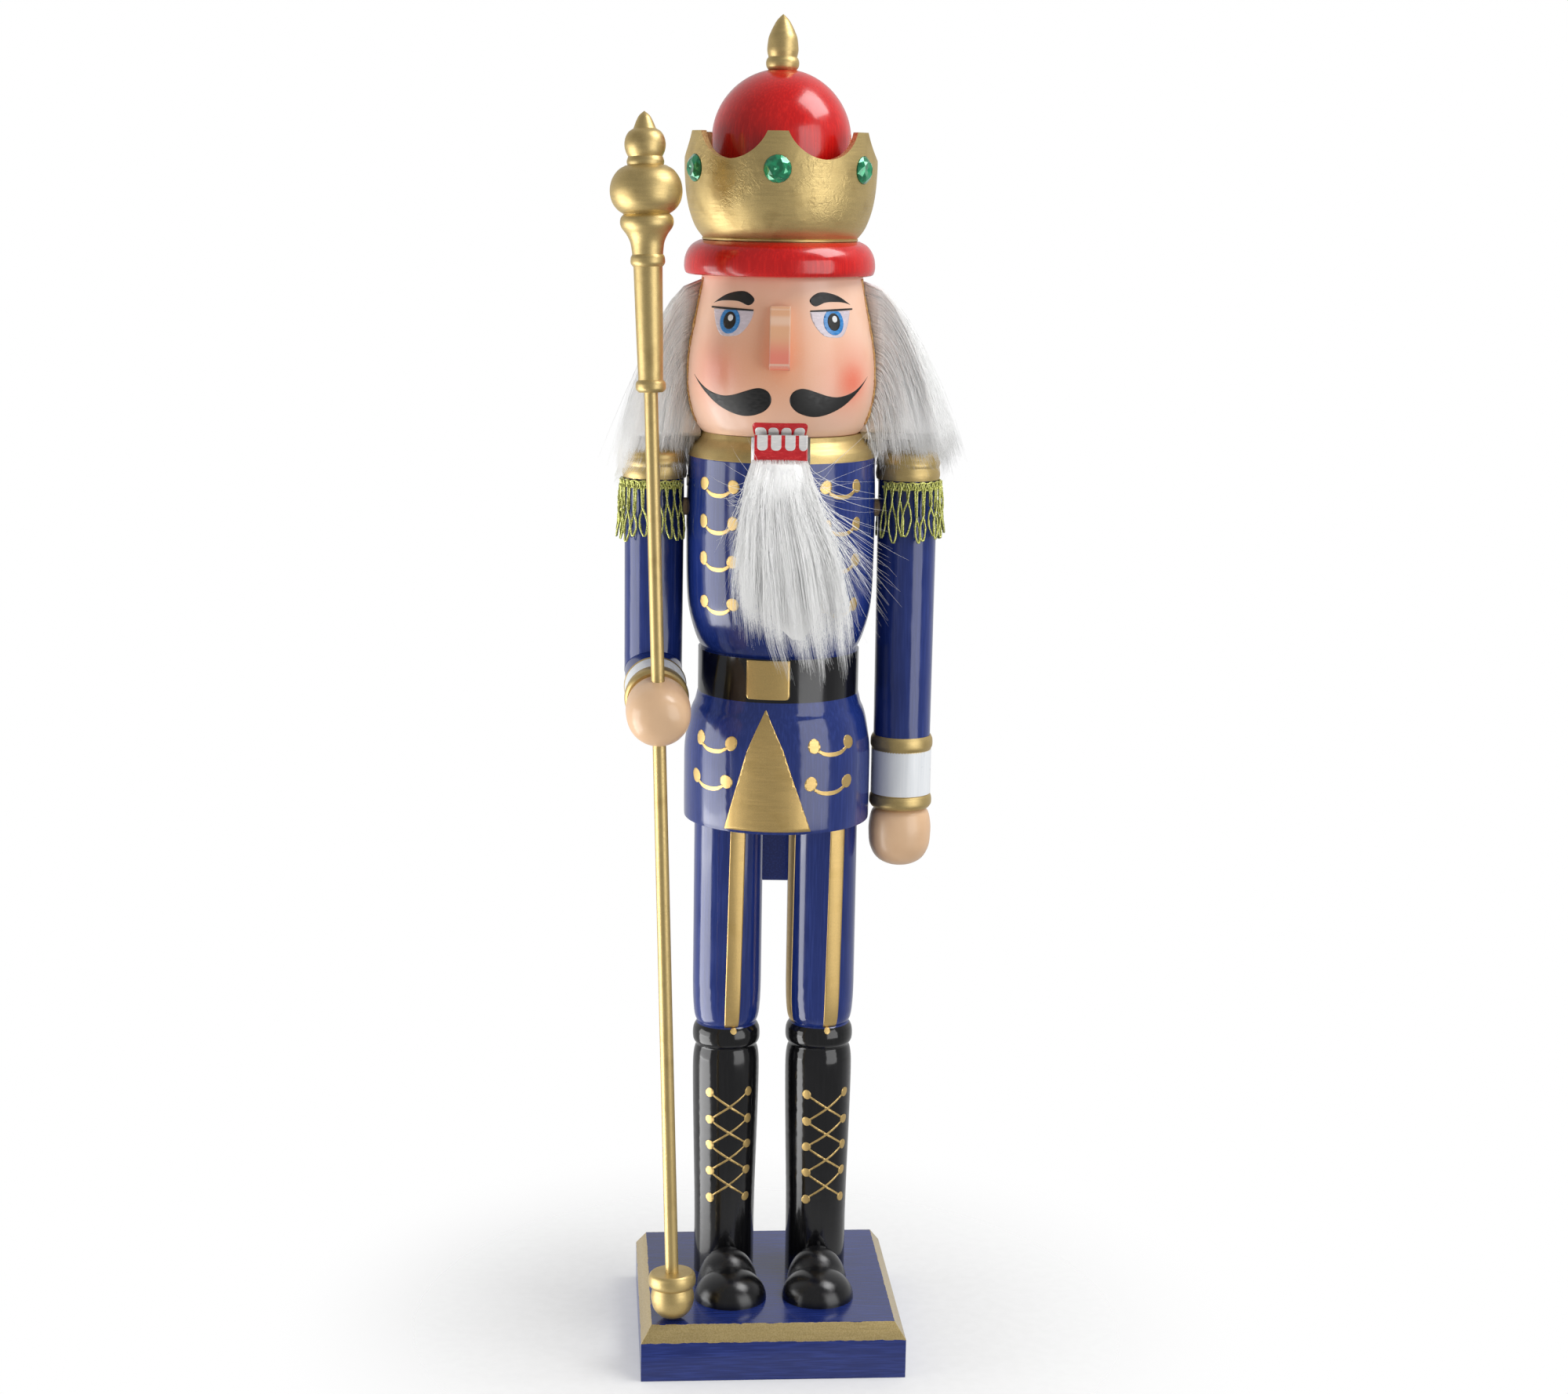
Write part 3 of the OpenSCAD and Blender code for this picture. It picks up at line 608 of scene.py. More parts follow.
# ---------------------------------------------------------------- CAD nodes
def soften(node, angle=38):
    """Smooth shading over the facets of a CAD node, with its real edges kept."""
    piece = NODES[node]
    normals = piece.data.attributes.get("custom_normal")
    if normals:
        piece.data.attributes.remove(normals)
    piece.data.polygons.foreach_set("use_smooth", [True] * len(piece.data.polygons))
    weld = piece.modifiers.new("weld", "WELD")
    weld.merge_threshold = 0.002 * MM
    split = piece.modifiers.new("edges", "EDGE_SPLIT")
    split.split_angle = math.radians(angle)
    piece.modifiers.new("facets", "WEIGHTED_NORMAL").keep_sharp = True


def finish_node(node, *bands, along=(0, 0, 1), start=(0, 0, 0)):
    """Paints a node in bands: (material, where it ends along the direction from start, in mm)."""
    soften(node)
    data = NODES[node].data
    data.materials.clear()
    for material, _ in bands:
        data.materials.append(material)
    direction, origin = Vector(along).normalized(), Vector(start)
    for face in data.polygons:
        place = (face.center / MM - origin).dot(direction)
        face.material_index = next((i for i, (_, end) in enumerate(bands) if place < end), len(bands) - 1)


REST = math.inf
JAW_AXIS = next(j for j in frame["joints"] if j["name"] == "jaw")["axis"]
FACE_TURN = math.degrees(math.atan2(JAW_AXIS[1], JAW_AXIS[0]))

BLUE = lacquer("blue_lacquer", (0.01, 0.026, 0.16), (0.02, 0.042, 0.22), coat=0.3)
BLACK_TONES = (0.004, 0.004, 0.005), (0.008, 0.008, 0.009)
BLACK = lacquer("black_lacquer", *BLACK_TONES, coat=0.2)
SHOE = lacquer("shoe_lacquer", *BLACK_TONES, coat=0.2, filled=5)
RED = lacquer("red_lacquer", (0.52, 0.002, 0.003), (0.7, 0.008, 0.006), 0.2, 0.3)
GOLD = gold_paint()
MARK_GOLD = gold_paint("mark_gold", (0.7, 0.49, 0.19), (0.6, 0.4, 0.13), 0.38, 0.15)
WHITE = lacquer("white_lacquer", (0.82, 0.85, 0.88), (0.88, 0.9, 0.92), 0.3, 0.3)
SKIN = skin()
FUR = fur()
WOOD = bare_wood()
STEEL = steel()

# ---------------------------------------------------------------- build
bpy.context.scene.view_settings.view_transform = "Standard"
place_camera()
soft_box("left_box", -84, 0.95, 0.24, (0.8, 0.5), 3.2)
soft_box("low_box", -84, 0.9, -0.25, (0.8, 0.6), 5.0)
soft_box("right_box", 44, 1.15, 0.45, (0.8, 1.1), 2.4)
soft_box("key_box", 78, 0.55, 1.15, (0.5, 0.5), 7.0)
studio_world(0.31, 0.62)

# Heights at which the paint changes colour, and the same along the forearm from the elbow
COLLAR_Z, BELT_TOP, BELT_LOW = 415.6, 327.7, 307.7
BOOT_TOP = 148.3
CAP_Z, CUFF_TOP, CUFF_WHITE, CUFF_RING = 405.2, 287.0, 280.0, 259.3
SLEEVE_END, EDGE_END, BAND_END = 17.7, 19.5, 28.0
ELBOW = (middle_of("right_upper_arm").x, 0, 317)
FOREARM = (middle_of("right_hand") - Vector(ELBOW)).normalized()

finish_node("torso", (BLUE, BELT_LOW), (BLACK, BELT_TOP), (BLUE, COLLAR_Z), (GOLD, REST))
for side in ("right", "left"):
    finish_node(side + "_leg", (BLACK, BOOT_TOP), (BLUE, REST))
finish_node("left_arm", (GOLD, CUFF_RING), (WHITE, CUFF_WHITE), (GOLD, CUFF_TOP), (BLUE, CAP_Z),
            (GOLD, REST))
finish_node("right_upper_arm", (BLUE, CAP_Z), (GOLD, REST))
finish_node("right_forearm", (BLUE, SLEEVE_END), (GOLD, EDGE_END), (WHITE, BAND_END), (GOLD, REST),
            along=FOREARM, start=ELBOW)
CHEEK, WARM, FLUSH = (0.82, 0.5, 0.34), (0.8, 0.33, 0.15), (0.8, 0.14, 0.07)
sprays = [((-4, -44, 462), 44, WARM, 0.75),
          ((-31, -27, 455), 26, FLUSH, 0.4), ((-29, -30, 456), 13, FLUSH, 0.3),
          ((29, -31, 452), 26, FLUSH, 0.5), ((29, -31, 451), 12, FLUSH, 0.7)]
for material, nodes in (
        (plinth_paint(), "base"), (jaw_paint(), "jaw_lever"), (nose_paint(), "nose"),
        (skin("face", (0.85, 0.56, 0.42), CHEEK, sprays), "head"),
        (gold_paint("crown_gold", rubbed=True), "crown"),
        (SKIN, "right_hand left_hand"), (SHOE, "right_shoe left_shoe"), (RED, "hat_brim crown_dome"),
        (GOLD, "finial staff_rod staff_head staff_foot"), (STEEL, "base_screws lever_pin"),
        (WOOD, "leg_dowels neck_dowels hat_dowel elbow_dowel shoulder_dowels wrist_dowels")):
    for node in nodes.split():
        finish_node(node, (material, REST))

# ---------------------------------------------------------------- painted marks
BLACK_MARK = mark_paint("black_mark", (0.004, 0.004, 0.004), (0.008, 0.007, 0.007), 0.42, 0.0)
WHITE_MARK = mark_paint("white_mark", (0.72, 0.74, 0.76), (0.82, 0.83, 0.84))
EYE_WHITE = mark_paint("eye_white", (0.6, 0.53, 0.58), (0.68, 0.6, 0.66))
RED_MARK = mark_paint("red_mark", (0.56, 0.012, 0.02), (0.68, 0.03, 0.035))
IRIS = mark_paint("iris", (0.03, 0.2, 0.52), (0.07, 0.3, 0.66))
TOOTH = mark_paint("tooth", (0.74, 0.73, 0.72), (0.84, 0.82, 0.8))

shaky = np.random.default_rng(7)


def dab(radius):
    """Outline of a dot of thick paint, never quite round."""
    a, b = shaky.uniform(0, 6.28, 2)
    outline = []
    for t in np.linspace(0, 2 * math.pi, 25)[:-1]:
        r = radius * (1 + 0.05 * math.cos(2 * t + a) + 0.025 * math.cos(3 * t + b))
        outline.append((r * math.cos(t), r * math.sin(t)))
    return outline


def frogging(marks, turn, z, half_gap, radius):
    """Two dots and the swag between them."""
    reach = math.radians(half_gap) * marks.surface.radius(turn, z)
    for side in (-1, 1):
        marks.add(turn + side * half_gap, z + shaky.uniform(-0.4, 0.4), dab(radius))
    end = reach - radius * 0.55
    swag = [(-end, -2.2), (-0.55 * end, -4), (0, -4.5), (0.55 * end, -4), (end, -2.2)]
    marks.add(turn, z + shaky.uniform(-0.3, 0.3), stroke(swag, 1.9))


coat = Surface("torso")
COAT_TURN = -4.0
trim = Marks(coat)
for z in (405, 388.3, 371.5, 352):
    for side in (-1, 1):
        frogging(trim, COAT_TURN + side * 40.65, z, 11.95, 3.0)
for z, middle in ((289, -6.2), (271.4, -8.5)):
    for side in (-1, 1):
        frogging(trim, middle + side * 39.8, z, 13.2, 3.2)
skirt_half = [(0.3, 27.6), (4.4, 19.1), (8.4, 10), (12.1, -2.2), (16.7, -16), (20.5, -27.1)]
trim.add(-9.9, 277, skirt_half + mirrored(skirt_half), lean=-0.036)
trim.piece("coat_frogging", MARK_GOLD, "gold_paint")
buckle = Marks(coat)
buckle.add(-10.1, 318.1, block(-9.95, 9.95, -8.8, 8.9, 1.8))
buckle.piece("belt_buckle", MARK_GOLD, "gold_paint")

STRIPE_Z, STRIPE_RUN = 198, 94
STRIPE = block(-3.65, 3.65, -49.2, 50.5)
for side, top, low in (("right", 13.05, 6.8), ("left", 21.9, 16.3)):
    leg = Surface(side + "_leg", *middle_of(side + "_leg").xy)
    stripes = Marks(leg)
    lean = (top - low) / STRIPE_RUN
    stripes.add((top + low) / 2, STRIPE_Z, STRIPE, lean=lean)
    if side == "left":
        stripes.add(-71, STRIPE_Z, STRIPE, lean=lean)
    stripes.add(10.5, 147.4, dab(1.5))
    stripes.piece(side + "_leg_stripe", MARK_GOLD, "gold_paint")
    laces = Marks(leg)
    centre, half = (4.4, 36) if side == "right" else (12.4, 36.6)
    rows = [z - (1.2 if side == "left" else 0) for z in (117.3, 104, 91.4, 78.5, 65)]
    reach = math.radians(half) * leg.radius(centre, rows[2])
    for upper, lower in zip(rows, rows[1:]):
        for way in (-1, 1):
            cross = [(-way * reach, upper - lower), (0, (upper - lower) / 2), (way * reach, 0)]
            laces.add(centre, lower, stroke(cross, 1.05, 8))
    for z in rows:
        for way in (-1, 1):
            laces.add(centre + way * half, z, dab(2.2), coats=2)
    laces.piece(side + "_boot_laces", MARK_GOLD, "gold_paint")

FACE_MIDDLE = -4.2
face = Surface("head")


def half_outline(points, z, tips):
    """A closed smooth outline, sharp at its tips, given from the centre line and by its heights."""
    points = [(u, v - z) for u, v in points]
    cuts = [*tips, len(points)]
    closed = points + [points[0]]
    line = []
    for a, b in zip(cuts, cuts[1:]):
        line += [tuple(p) for p in flow(closed[a:b + 1], 5)[:-1]]
    return line


moustache = [(47.2, 453), (43, 450.4), (37.7, 447.5), (32.2, 445.6), (26.6, 444.8), (21.4, 445.5),
             (16.3, 447.1), (11.7, 448.5), (8.6, 448.7), (5.6, 447.4), (4.1, 444.7), (4.5, 441.7),
             (6.8, 439), (10.2, 437.3), (14.7, 436.3), (19.4, 436.5), (24.9, 438), (30.8, 440.7),
             (36, 444.2), (41, 448)]
brow = [(34.5, 484.6), (26.4, 488.8), (17.5, 490.2), (12.4, 487), (14.8, 484.2), (20.5, 485.9), (29, 485.8)]
eye = [(12.9, 481.8), (13.5, 478.8), (15.4, 475.2), (18, 472.3), (20.8, 471), (26.6, 470.7), (29.4, 471.8),
       (32.2, 475.4), (34.2, 479.4), (35.3, 482.2)]
EYE_U, EYE_Z, LID_Z = 24.3, 477.4, 482
MOUSTACHE_Z, BROW_Z, WHITE_Z, LASH_Z = 445, 485, 475, 482.4

features, whites, irises, pupils, glints = (Marks(face) for _ in range(5))
for flip in (mirrored, list):
    side = -1 if flip is mirrored else 1
    across = FACE_MIDDLE + side * math.degrees(EYE_U / face.radius(FACE_MIDDLE, EYE_Z))
    features.add(FACE_MIDDLE, MOUSTACHE_Z, flip(half_outline(moustache, MOUSTACHE_Z, (0,))))
    features.add(FACE_MIDDLE, BROW_Z, flip(half_outline(brow, BROW_Z, (0,))))
    lash = stroke([(12.6, -0.3), (24, 0.1), (35.8, 0.4)], 0.85)
    features.add(FACE_MIDDLE, LASH_Z, flip(lash), coats=3)
    whites.add(FACE_MIDDLE, WHITE_Z, flip(half_outline(eye, WHITE_Z, (0, 9))))
    glints.add(across + 0.65, EYE_Z + 1.2, oval(1.35, 1.45, 16), coats=4)
    iris = [(x, min(z, LID_Z - EYE_Z)) for x, z in oval(5.35, 5.7)]
    irises.add(across, EYE_Z, iris, coats=2)
    pupils.add(across, EYE_Z, oval(3.3, 3.8), coats=3)
features.piece("face_lines", BLACK_MARK, "black_lacquer")
irises.piece("irises", IRIS, "blue_lacquer")
pupils.piece("pupils", BLACK_MARK, "black_lacquer")
whites.piece("eye_whites", EYE_WHITE, "white_paint")
glints.piece("eye_glints", WHITE_MARK, "white_paint")

UPPER_Z, LOWER_Z = 430, 420
lips = Marks(face)
lips.add(FACE_MIDDLE, UPPER_Z, block(-12.1, 12.1, -2.9, 3.5, 0, 2))
lips.piece("upper_lip", RED_MARK, "red_lacquer")
teeth = Marks(face)
for left, right in ((-11.15, -5.97), (-5.16, -0.54), (0.57, 5.13), (6.25, 11.18)):
    teeth.add(FACE_MIDDLE, UPPER_Z, block(left, right, -2.7, 1.4, 0, 1.9), coats=2)
teeth.piece("upper_teeth", TOOTH, "white_paint")


class Board:
    """The flat front of the jaw: a degree of turn stands for a mm across."""

    def __init__(self, turn, y):
        self.turn, self.y = turn, y

    def radius(self, turn, z):
        return math.degrees(1)

    def at(self, across, z, lift=0.0):
        flat = np.array([[across, self.y - lift, z]])
        return Vector(turned_about(flat, self.turn)[0])


JAW_FRONT, JAW_HALF = -41.8, 11.7
jaw_face = Board(FACE_TURN, JAW_FRONT)
lower = Marks(jaw_face)
lower.add(0, LOWER_Z, block(-JAW_HALF, JAW_HALF, -7, 8.3))
lower.piece("lower_lip", RED_MARK, "red_lacquer", "lever")
teeth = Marks(jaw_face)
for left, right in ((-10.45, -5.85), (-4.35, 0.15), (1.85, 6.35), (7.95, JAW_HALF)):
    teeth.add(0, LOWER_Z, block(left, right, 1.6, 8.3, 1.8, 0), coats=2)
teeth.piece("lower_teeth", TOOTH, "white_paint", "lever")

# ---------------------------------------------------------------- stones
GEM_OUT, GEM_R, GIRDLE, TABLE_R, GEM_H = 42.3, 6.0, 0.7, 3.5, 2.8
HAT_AT = Vector((middle_of("crown_dome").x, 0, middle_of("gems").z))
CROWN_TURN = -6.0


def brilliant():
    """A flat-backed stone looking along +X: girdle, two rows of facets and a table with a star."""
    rings = [(0, GEM_R, 16, 0), (GIRDLE, GEM_R, 16, 0), (GIRDLE + 1.25, 4.75, 8, 0.5), (GEM_H, TABLE_R, 8, 0),
             (GEM_H - 0.25, 1.5, 8, 0.5)]
    points, starts = [], []
    for out, radius, count, offset in rings:
        starts.append(len(points))
        points += [(out, radius * math.cos(2 * math.pi * (k + offset) / count),
                    radius * math.sin(2 * math.pi * (k + offset) / count)) for k in range(count)]
    points += [(0, 0, 0), (GEM_H - 0.7, 0, 0)]
    back, heart = len(points) - 2, len(points) - 1
    a, b, c, d, e = starts
    faces = []
    for k in range(16):
        faces += [[a + k, a + (k + 1) % 16, b + (k + 1) % 16, b + k], [back, a + (k + 1) % 16, a + k]]
    for k in range(8):
        low, mid, high = b + 2 * k, b + 2 * k + 1, b + (2 * k + 2) % 16
        this, after = c + k, c + (k + 1) % 8
        faces += [[low, mid, this], [mid, high, this], [high, after, this]]
        faces += [[this, after, d + (k + 1) % 8], [d + k, this, d + (k + 1) % 8]]
        faces += [[d + k, d + (k + 1) % 8, e + k], [d + (k + 1) % 8, e + (k + 1) % 8, e + k]]
        faces += [[e + k, e + (k + 1) % 8, heart]]
    return np.array(points), faces


points, faces, stone_shape = [], [], brilliant()
for k in range(6):
    spin = shaky.uniform(0, 0.7)
    c, s = math.cos(spin), math.sin(spin)
    local = stone_shape[0] @ np.array([[1, 0, 0], [0, c, s], [0, -s, c]]) + (GEM_OUT, 0, 0)
    faces += [[i + len(points) for i in face] for face in stone_shape[1]]
    points += ((turned_about(local, CROWN_TURN - 90 + 60 * k) + HAT_AT) * MM).tolist()
gems = add_piece("crown_stones", points, faces, stone(), "root", tidy=True)
gems.data.polygons.foreach_set("use_smooth", [False] * len(gems.data.polygons))
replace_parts(gems, "gems")

# ---------------------------------------------------------------- bullion fringe
ARM_X = {-1: middle_of("right_upper_arm").x, 1: middle_of("left_arm").x}
FRINGE_TOP, FRINGE_LOW, FRINGE_R = 405, 378, 15.5
FRINGE_GAP = 36
LOOPS = 21
CORD_SIDES, PLIES, PLY_DEPTH = 8, 2, 0.28
CORD = bullion()


def fringe(side, seed):
    """Loops of twisted cord hung from a stitched heading round the upper arm."""
    rng = np.random.default_rng(seed)
    points, faces = [], []

    def lay(turns, radii, heights, thickness, pitch=2.2):
        angle = np.radians(turns)
        path = np.stack([ARM_X[side] - side * radii * np.cos(angle), radii * np.sin(angle), heights], 1)
        made, quads = sweep(path, thickness, CORD_SIDES, PLIES, pitch, PLY_DEPTH)
        faces.extend([[i + len(points) for i in quad] for quad in quads])
        points.extend((made * MM).tolist())

    along = np.linspace(FRINGE_GAP, 360 - FRINGE_GAP, 150)
    for z, r in ((FRINGE_TOP - 0.5, 14.75), (FRINGE_TOP - 3.3, 14.95)):
        lay(along, r + 0 * along, z + 0.25 * np.sin(along / 3), 0.5)
    stitch = np.linspace(FRINGE_GAP, 360 - FRINGE_GAP, 700)
    lay(stitch, 15.1 + 0.35 * np.sin(np.radians(stitch) * 30 + 1),
        FRINGE_TOP - 1.9 + 1.35 * np.sin(np.radians(stitch) * 60), 0.38)
    for loop in range(LOOPS):
        middle = FRINGE_GAP + (loop + 0.5) * (360 - 2 * FRINGE_GAP) / LOOPS
        low = FRINGE_LOW + rng.uniform(-1.2, 3.6)
        swing, bulb = rng.uniform(-6.5, 6.5), rng.uniform(4.6, 9.2)
        cross = rng.uniform(0.26, 0.58)
        t = np.linspace(-1, 1, 44)
        drop = 1 - np.abs(t) ** 1.15
        belly = bulb * np.sin(np.pi * (drop - cross) / (1 - cross) * 0.86)
        wide = np.where(drop < cross, -2.4 * (1 - drop / cross), belly)
        wide = np.where(drop > cross, np.maximum(wide, 0) * np.abs(t) ** 0.22, wide)
        z = FRINGE_TOP - 2.6 + (low - FRINGE_TOP + 2.6) * drop
        out = FRINGE_R + 0.62 * np.sign(t) * np.exp(-((drop - cross) / 0.2) ** 2) + 1.6 * drop ** 2
        lay(middle + np.sign(t) * wide + swing * drop ** 2, out, z, 0.46, pitch=1.7)
    name = ("left" if side > 0 else "right") + "_fringe"
    made = add_piece(name + "_loops", points, faces, CORD, "root")
    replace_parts(made, name)


fringe(-1, 31)
fringe(1, 32)

# ---------------------------------------------------------------- fur
HAIR_FROM, HAIR_TO = 76, 284
HAIR_LOW, HAIR_RISE, HAIR_END = 431.5, 62.5, 418.0
HEAD_LEVELS = np.linspace(428, 496, 30)
HEAD_RADII = np.array([face.radius(180, z) for z in HEAD_LEVELS])
HAIR_STEPS = 9
HAIRS_EACH, HAIRS_IN_LOCK = 3600, 26


def hair_reach(turn):
    """How far the hair stands from the axis at its lower end."""
    angle = np.radians(turn)
    wide = np.where(np.sin(angle) > 0, 80.5, 74.0)
    return 1 / np.hypot(np.sin(angle) / wide, np.cos(angle) / 60)


def hair_end(turn):
    """Height of the lower end; it hangs lowest over the right arm."""
    return HAIR_END - 8 * np.exp(-((turn - 262) / 22) ** 2)


def fall(turn, rise, t, end):
    """Points of hairs rooted this far up the head, from root to tip."""
    root = HAIR_LOW + HAIR_RISE * rise
    near = np.interp(root, HEAD_LEVELS, HEAD_RADII)
    low = HEAD_RADII[0] + 2.5
    radius = near + (low + (hair_reach(turn) - low) * rise ** 0.8 - near) * t ** 0.5
    angle = np.radians(turn)
    return np.stack([radius * np.sin(angle), -radius * np.cos(angle), root + (end - root) * t], -1)


def clear_of_arms(points):
    """Pushes hair that hangs below the shoulder caps out of the arms."""
    for side in (-1, 1):
        x, y = points[..., 0] - ARM_X[side], points[..., 1]
        gap = np.hypot(x, y)
        room = np.interp(points[..., 2], (405, 412, 417, 419.6, 420), (18.4, 15.4, 11, 3, 0))
        push = np.maximum(room / np.maximum(gap, 0.5), 1)
        points[..., 0] = ARM_X[side] + x * push
        points[..., 1] = y * push
    return points


def hair(name, start, end, seed):
    """Hairs gathered in locks, rooted between two turns round the head."""
    rng, count = np.random.default_rng(seed), HAIRS_EACH
    clumps = count // HAIRS_IN_LOCK
    lock = rng.integers(0, clumps, count)
    lock_turn, lock_rise = rng.uniform(start, end, clumps)[lock], rng.uniform(0, 1, clumps)[lock] ** 0.7
    turn = np.clip(lock_turn + rng.normal(0, 3.2, count), HAIR_FROM + 0.5, HAIR_TO - 0.5)
    rise = np.clip(lock_rise + rng.normal(0, 0.07, count), 0, 1)
    lowest = hair_end(turn) + rng.normal(0, 2.6, clumps)[lock] + rng.normal(0, 2.4, count)
    t = np.linspace(0, 1, HAIR_STEPS)[None, :] ** 1.5
    gather = 0.62 * t ** 0.8
    turn = turn[:, None] + (lock_turn - turn)[:, None] * gather
    rise = rise[:, None] + (lock_rise - rise)[:, None] * gather
    paths = fall(turn, rise, t, lowest[:, None])
    loose = np.where(rng.random(count) < 0.03, 5.0, 1.0)
    drift = rng.normal(0, 1.0, (count, 1, 3)) * loose[:, None, None]
    sway = rng.normal(0, 1.5, (clumps, 1, 3))[lock]
    wave = np.sin(7 * t + rng.uniform(0, 6.28, clumps)[lock][:, None])[..., None]
    paths += (drift + sway * (1 + 0.4 * wave)) * (t ** 1.2)[..., None] * (1, 1, 0.3)
    paths = clear_of_arms(turned_about(paths, FACE_TURN))
    strands(name, paths, rng.uniform(0.16, 0.32, count))


def hair_core():
    """The dense inside of the hair, just below its outer locks."""
    turns, ts = np.linspace(HAIR_FROM + 1.2, HAIR_TO - 1.2, 190), np.linspace(0, 1, 30)
    turn, t = np.meshgrid(turns, ts, indexing="ij")
    ridges = 0.6 * np.sin(turn * 1.9 + 2 * np.sin(turn * 0.35)) + 0.4 * np.sin(turn * 3.7 + 1)
    outer = fall(turn, 0.92 + 0 * t, t, 426 + 2.5 * np.sin(turn * 0.9) + 1.5 * np.sin(turn * 2.3 + 1))
    radius = np.hypot(outer[..., 0], outer[..., 1])
    outer[..., :2] *= ((radius - 2.2 - 2 * t ** 3 + ridges * t) / radius)[..., None]
    inner = outer.copy()
    inner[..., :2] *= (np.interp(outer[..., 2], HEAD_LEVELS, HEAD_RADII) - 0.2)[..., None] / np.hypot(
        outer[..., 0], outer[..., 1])[..., None]
    rows, columns = turn.shape
    grid = np.arange(rows * columns).reshape(rows, columns)
    shift = rows * columns
    faces = []
    corners = grid[:-1, :-1], grid[1:, :-1], grid[1:, 1:], grid[:-1, 1:]
    for a, b, c, d in zip(*(corner.ravel() for corner in corners)):
        faces += [[a, b, c, d], [d + shift, c + shift, b + shift, a + shift]]
    rim = [*grid[:, 0], *grid[-1, 1:], *grid[-2::-1, -1], *grid[0, -2:0:-1]]
    faces += [[a, b, b + shift, a + shift] for a, b in zip(rim[1:] + rim[:1], rim)]
    points = turned_about(np.concatenate([outer.reshape(-1, 3), inner.reshape(-1, 3)]), FACE_TURN) * MM
    return add_piece("hair_core", points, faces, FUR, "root", tidy=True)


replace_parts(hair_core(), "hair")
HAIR_PIECES = ("left_front", "left", "left_back", "back", "right_back", "right", "right_front")
for k, place in enumerate(HAIR_PIECES):
    start, end = (HAIR_FROM + (HAIR_TO - HAIR_FROM) * (k + share) / len(HAIR_PIECES) for share in (0, 1))
    hair("hair_" + place, start - 1, end + 1, 41 + k)

# Height, middle and half width of the beard
BEARD_LEVELS = [(317, 11, 18), (326, 9, 20.5), (337, 6, 22.5), (355, 3.5, 22.5), (374, 1, 20.5),
                (393, -2, 16.5), (408, -3.5, 14), (418, -3, 11.5)]
BEARD_Y = -42.0
BEARD_ROOT, BEARD_DEEP = 402.5, 15
BEARD_HAIRS_EACH, BEARD_IN_LOCK = 2900, 40


def beard(name, seed):
    """Hairs gathered in locks from the jaw down the chest, with short and flyaway ones at the sides."""
    rng, count = np.random.default_rng(seed), BEARD_HAIRS_EACH
    levels, middles, halves = np.array(BEARD_LEVELS).T
    clumps = count // BEARD_IN_LOCK
    lock = rng.integers(0, clumps, count)
    lock_u, lock_depth = rng.uniform(-1, 1, clumps)[lock], rng.uniform(0, 1, clumps)[lock]
    u = np.clip(lock_u + rng.normal(0, 0.12, count), -1.05, 1.05)
    depth = np.clip(lock_depth + rng.normal(0, 0.1, count), 0, 1)
    root = BEARD_ROOT + BEARD_DEEP * depth
    tip = np.interp(u, (-1, -0.6, 0, 0.6, 1), (346, 337, 332, 327, 333)) + rng.normal(0, 6, clumps)[lock]
    tip = tip + rng.exponential(5, count) + 10 * (1 - depth)
    short = rng.random(count) < 0.3
    tip = np.where(short, rng.uniform(338, 394, count), tip)
    t = np.linspace(0, 1, 11)[None, :] ** 1.35
    lift = 1.2 * depth[:, None] * np.sin(np.pi * np.minimum(t * 9, 1))
    z = root[:, None] + (tip - root)[:, None] * t + lift
    gathered = u[:, None] + (lock_u - u)[:, None] * 0.75 * t ** 0.7
    spread = np.interp(z, levels, halves) * gathered
    x = np.interp(z, levels, middles) + spread
    bulge = 1.2 + 7.5 * depth[:, None] * (1 - 0.35 * np.abs(gathered) ** 2)
    y = BEARD_Y - bulge * (1 - np.exp(-9 * t)) - 3.2 * np.sin(np.pi * t ** 0.8) - 1.2 * t
    paths = np.stack([x, y, z], -1)
    loose = rng.random(count)
    drift = rng.normal(0, 0.8, (count, 1, 3)) * np.where(loose < 0.04, 4, 1)[:, None, None]
    stray_left, stray_right = (loose < 0.05) & (u > 0.25), (loose > 0.97) & (u < -0.3)
    drift[:, 0, 0] += np.where(stray_left, rng.uniform(4, 26, count), 0)
    drift[:, 0, 2] += np.where(stray_left, rng.uniform(10, 36, count), 0)
    drift[:, 0, 0] -= np.where(stray_right, rng.uniform(2, 14, count), 0)
    drift[:, 0, 2] += np.where(stray_right, rng.uniform(15, 50, count), 0)
    drift[:, 0, 0] += np.where(short, np.sign(u) * rng.uniform(0, 6, count), 0)
    sway = rng.normal(0, 1.8, (clumps, 1, 3))[lock] * (1, 0.5, 0)
    wave = np.sin(8 * t + rng.uniform(0, 6.28, clumps)[lock][:, None])[..., None]
    paths += (drift + sway * (1 + 0.5 * wave)) * (t ** 1.4)[..., None]
    paths[..., 1] = np.minimum(paths[..., 1], BEARD_Y + 0.6)
    hang(strands(name, paths, rng.uniform(0.14, 0.28, count), None))


def hang(piece):
    """Fixes the piece where it stands, in place of the frame's beard; the real beard is glued to the jaw at
    the top and lies on the chest below.
    """
    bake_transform(piece)
    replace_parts(piece, "beard")


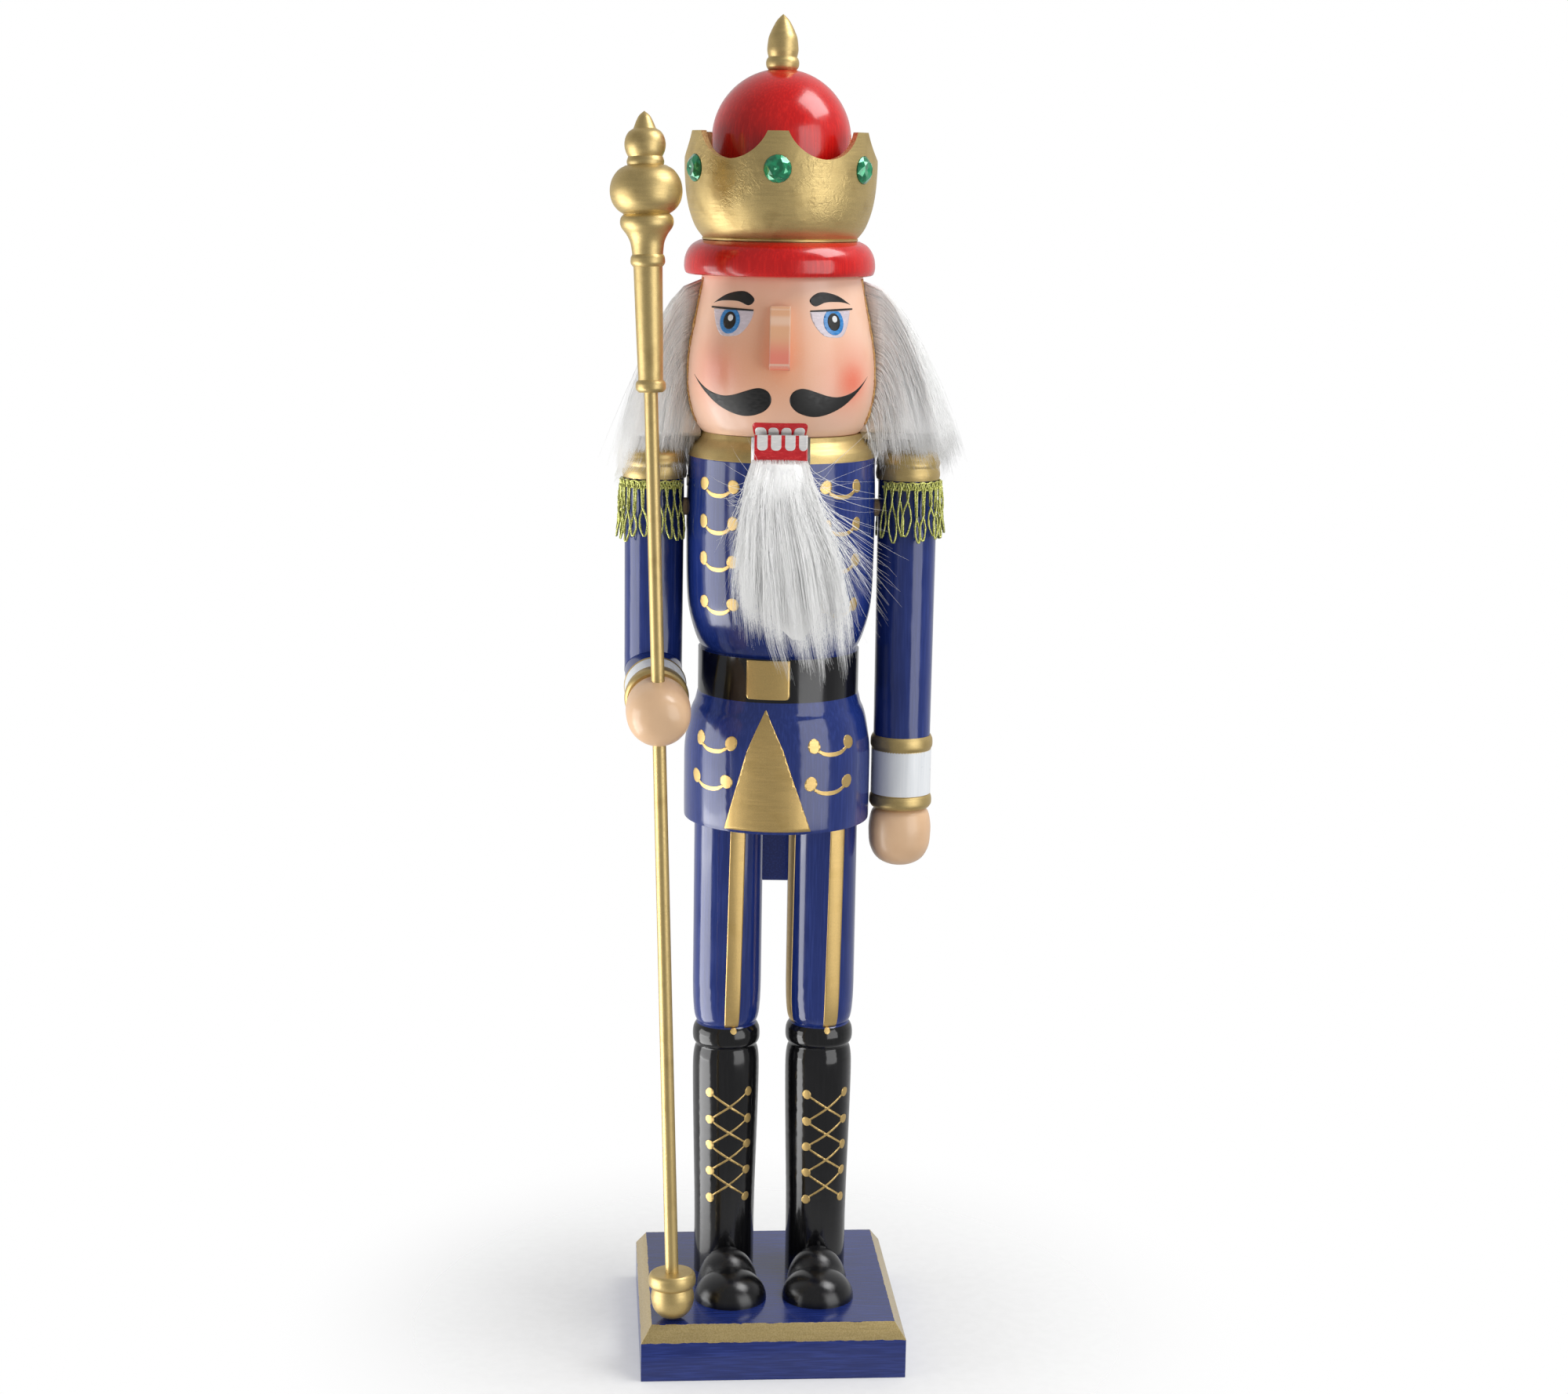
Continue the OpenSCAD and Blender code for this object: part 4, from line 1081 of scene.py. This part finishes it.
def beard_core():
    """The dense inside of the beard, below its outer locks."""
    levels, middles, halves = np.array(BEARD_LEVELS).T
    points, faces, around = [], [], 48
    heights = np.linspace(416, 338, 34)
    for z in heights:
        slim = np.interp(z, (338, 346, 366, 405, 412, 416), (0.1, 0.4, 0.68, 0.8, 0.8, 0.7))
        deep = np.interp(z, (338, 350, 380, 408, 416), (0.8, 2.6, 4.6, 4.6, 3.2))
        for k in range(around):
            turn = 2 * math.pi * k / around
            ridge = 1 + 0.05 * math.sin(7 * turn + z / 9) + 0.04 * math.sin(13 * turn - z / 7)
            x = np.interp(z, levels, middles) + np.interp(z, levels, halves) * slim * ridge * math.cos(turn)
            y = BEARD_Y - 0.4 - deep * (1 + ridge * math.sin(turn))
            points.append((x * MM, y * MM, z * MM))
    for row in range(len(heights) - 1):
        for k in range(around):
            a, b = row * around + k, row * around + (k + 1) % around
            faces.append([a, a + around, b + around, b])
    faces += [list(range(around)), list(range(len(points) - 1, len(points) - around - 1, -1))]
    hang(add_piece("beard_core", points, faces, FUR, None, tidy=True))


beard_core()
beard("beard_under", 51)
beard("beard_over", 52)

# ---------------------------------------------------------------- glue
AMBER = glue("amber_glue", (0.62, 0.36, 0.1), (0.42, 0.2, 0.04))


def bead(name, path, radius, seed):
    """An uneven bead of amber glue along a path in mm."""
    rng = np.random.default_rng(seed)
    width = radius * (1 + 0.5 * np.convolve(rng.normal(0, 1, len(path) + 4), np.ones(5) / 5, "valid"))
    points, faces = sweep(path, np.maximum(width, 0.2 * radius), 7)
    add_piece(name, points * MM, faces, AMBER, "root", tidy=True)


for side, name in ((1, "left_hairline_glue"), (-1, "right_hairline_glue")):
    turn = FACE_TURN + side * (HAIR_FROM - 0.4)
    wander = np.random.default_rng(60 + side).normal(0, 0.35, 90)
    path = np.array([face.at(turn + w, z, 0.1) for z, w in zip(np.linspace(431, 495, 90), wander)])
    bead(name, path, 0.55, 62 + side)

FLOOR_HALF = 1.2
ends = ((-1, -1), (1, -1), (1, 1), (-1, 1))
floor = add_piece("floor", [(x * FLOOR_HALF, y * FLOOR_HALF, 0) for x, y in ends], [[0, 1, 2, 3]],
                  floor_paint(), None)
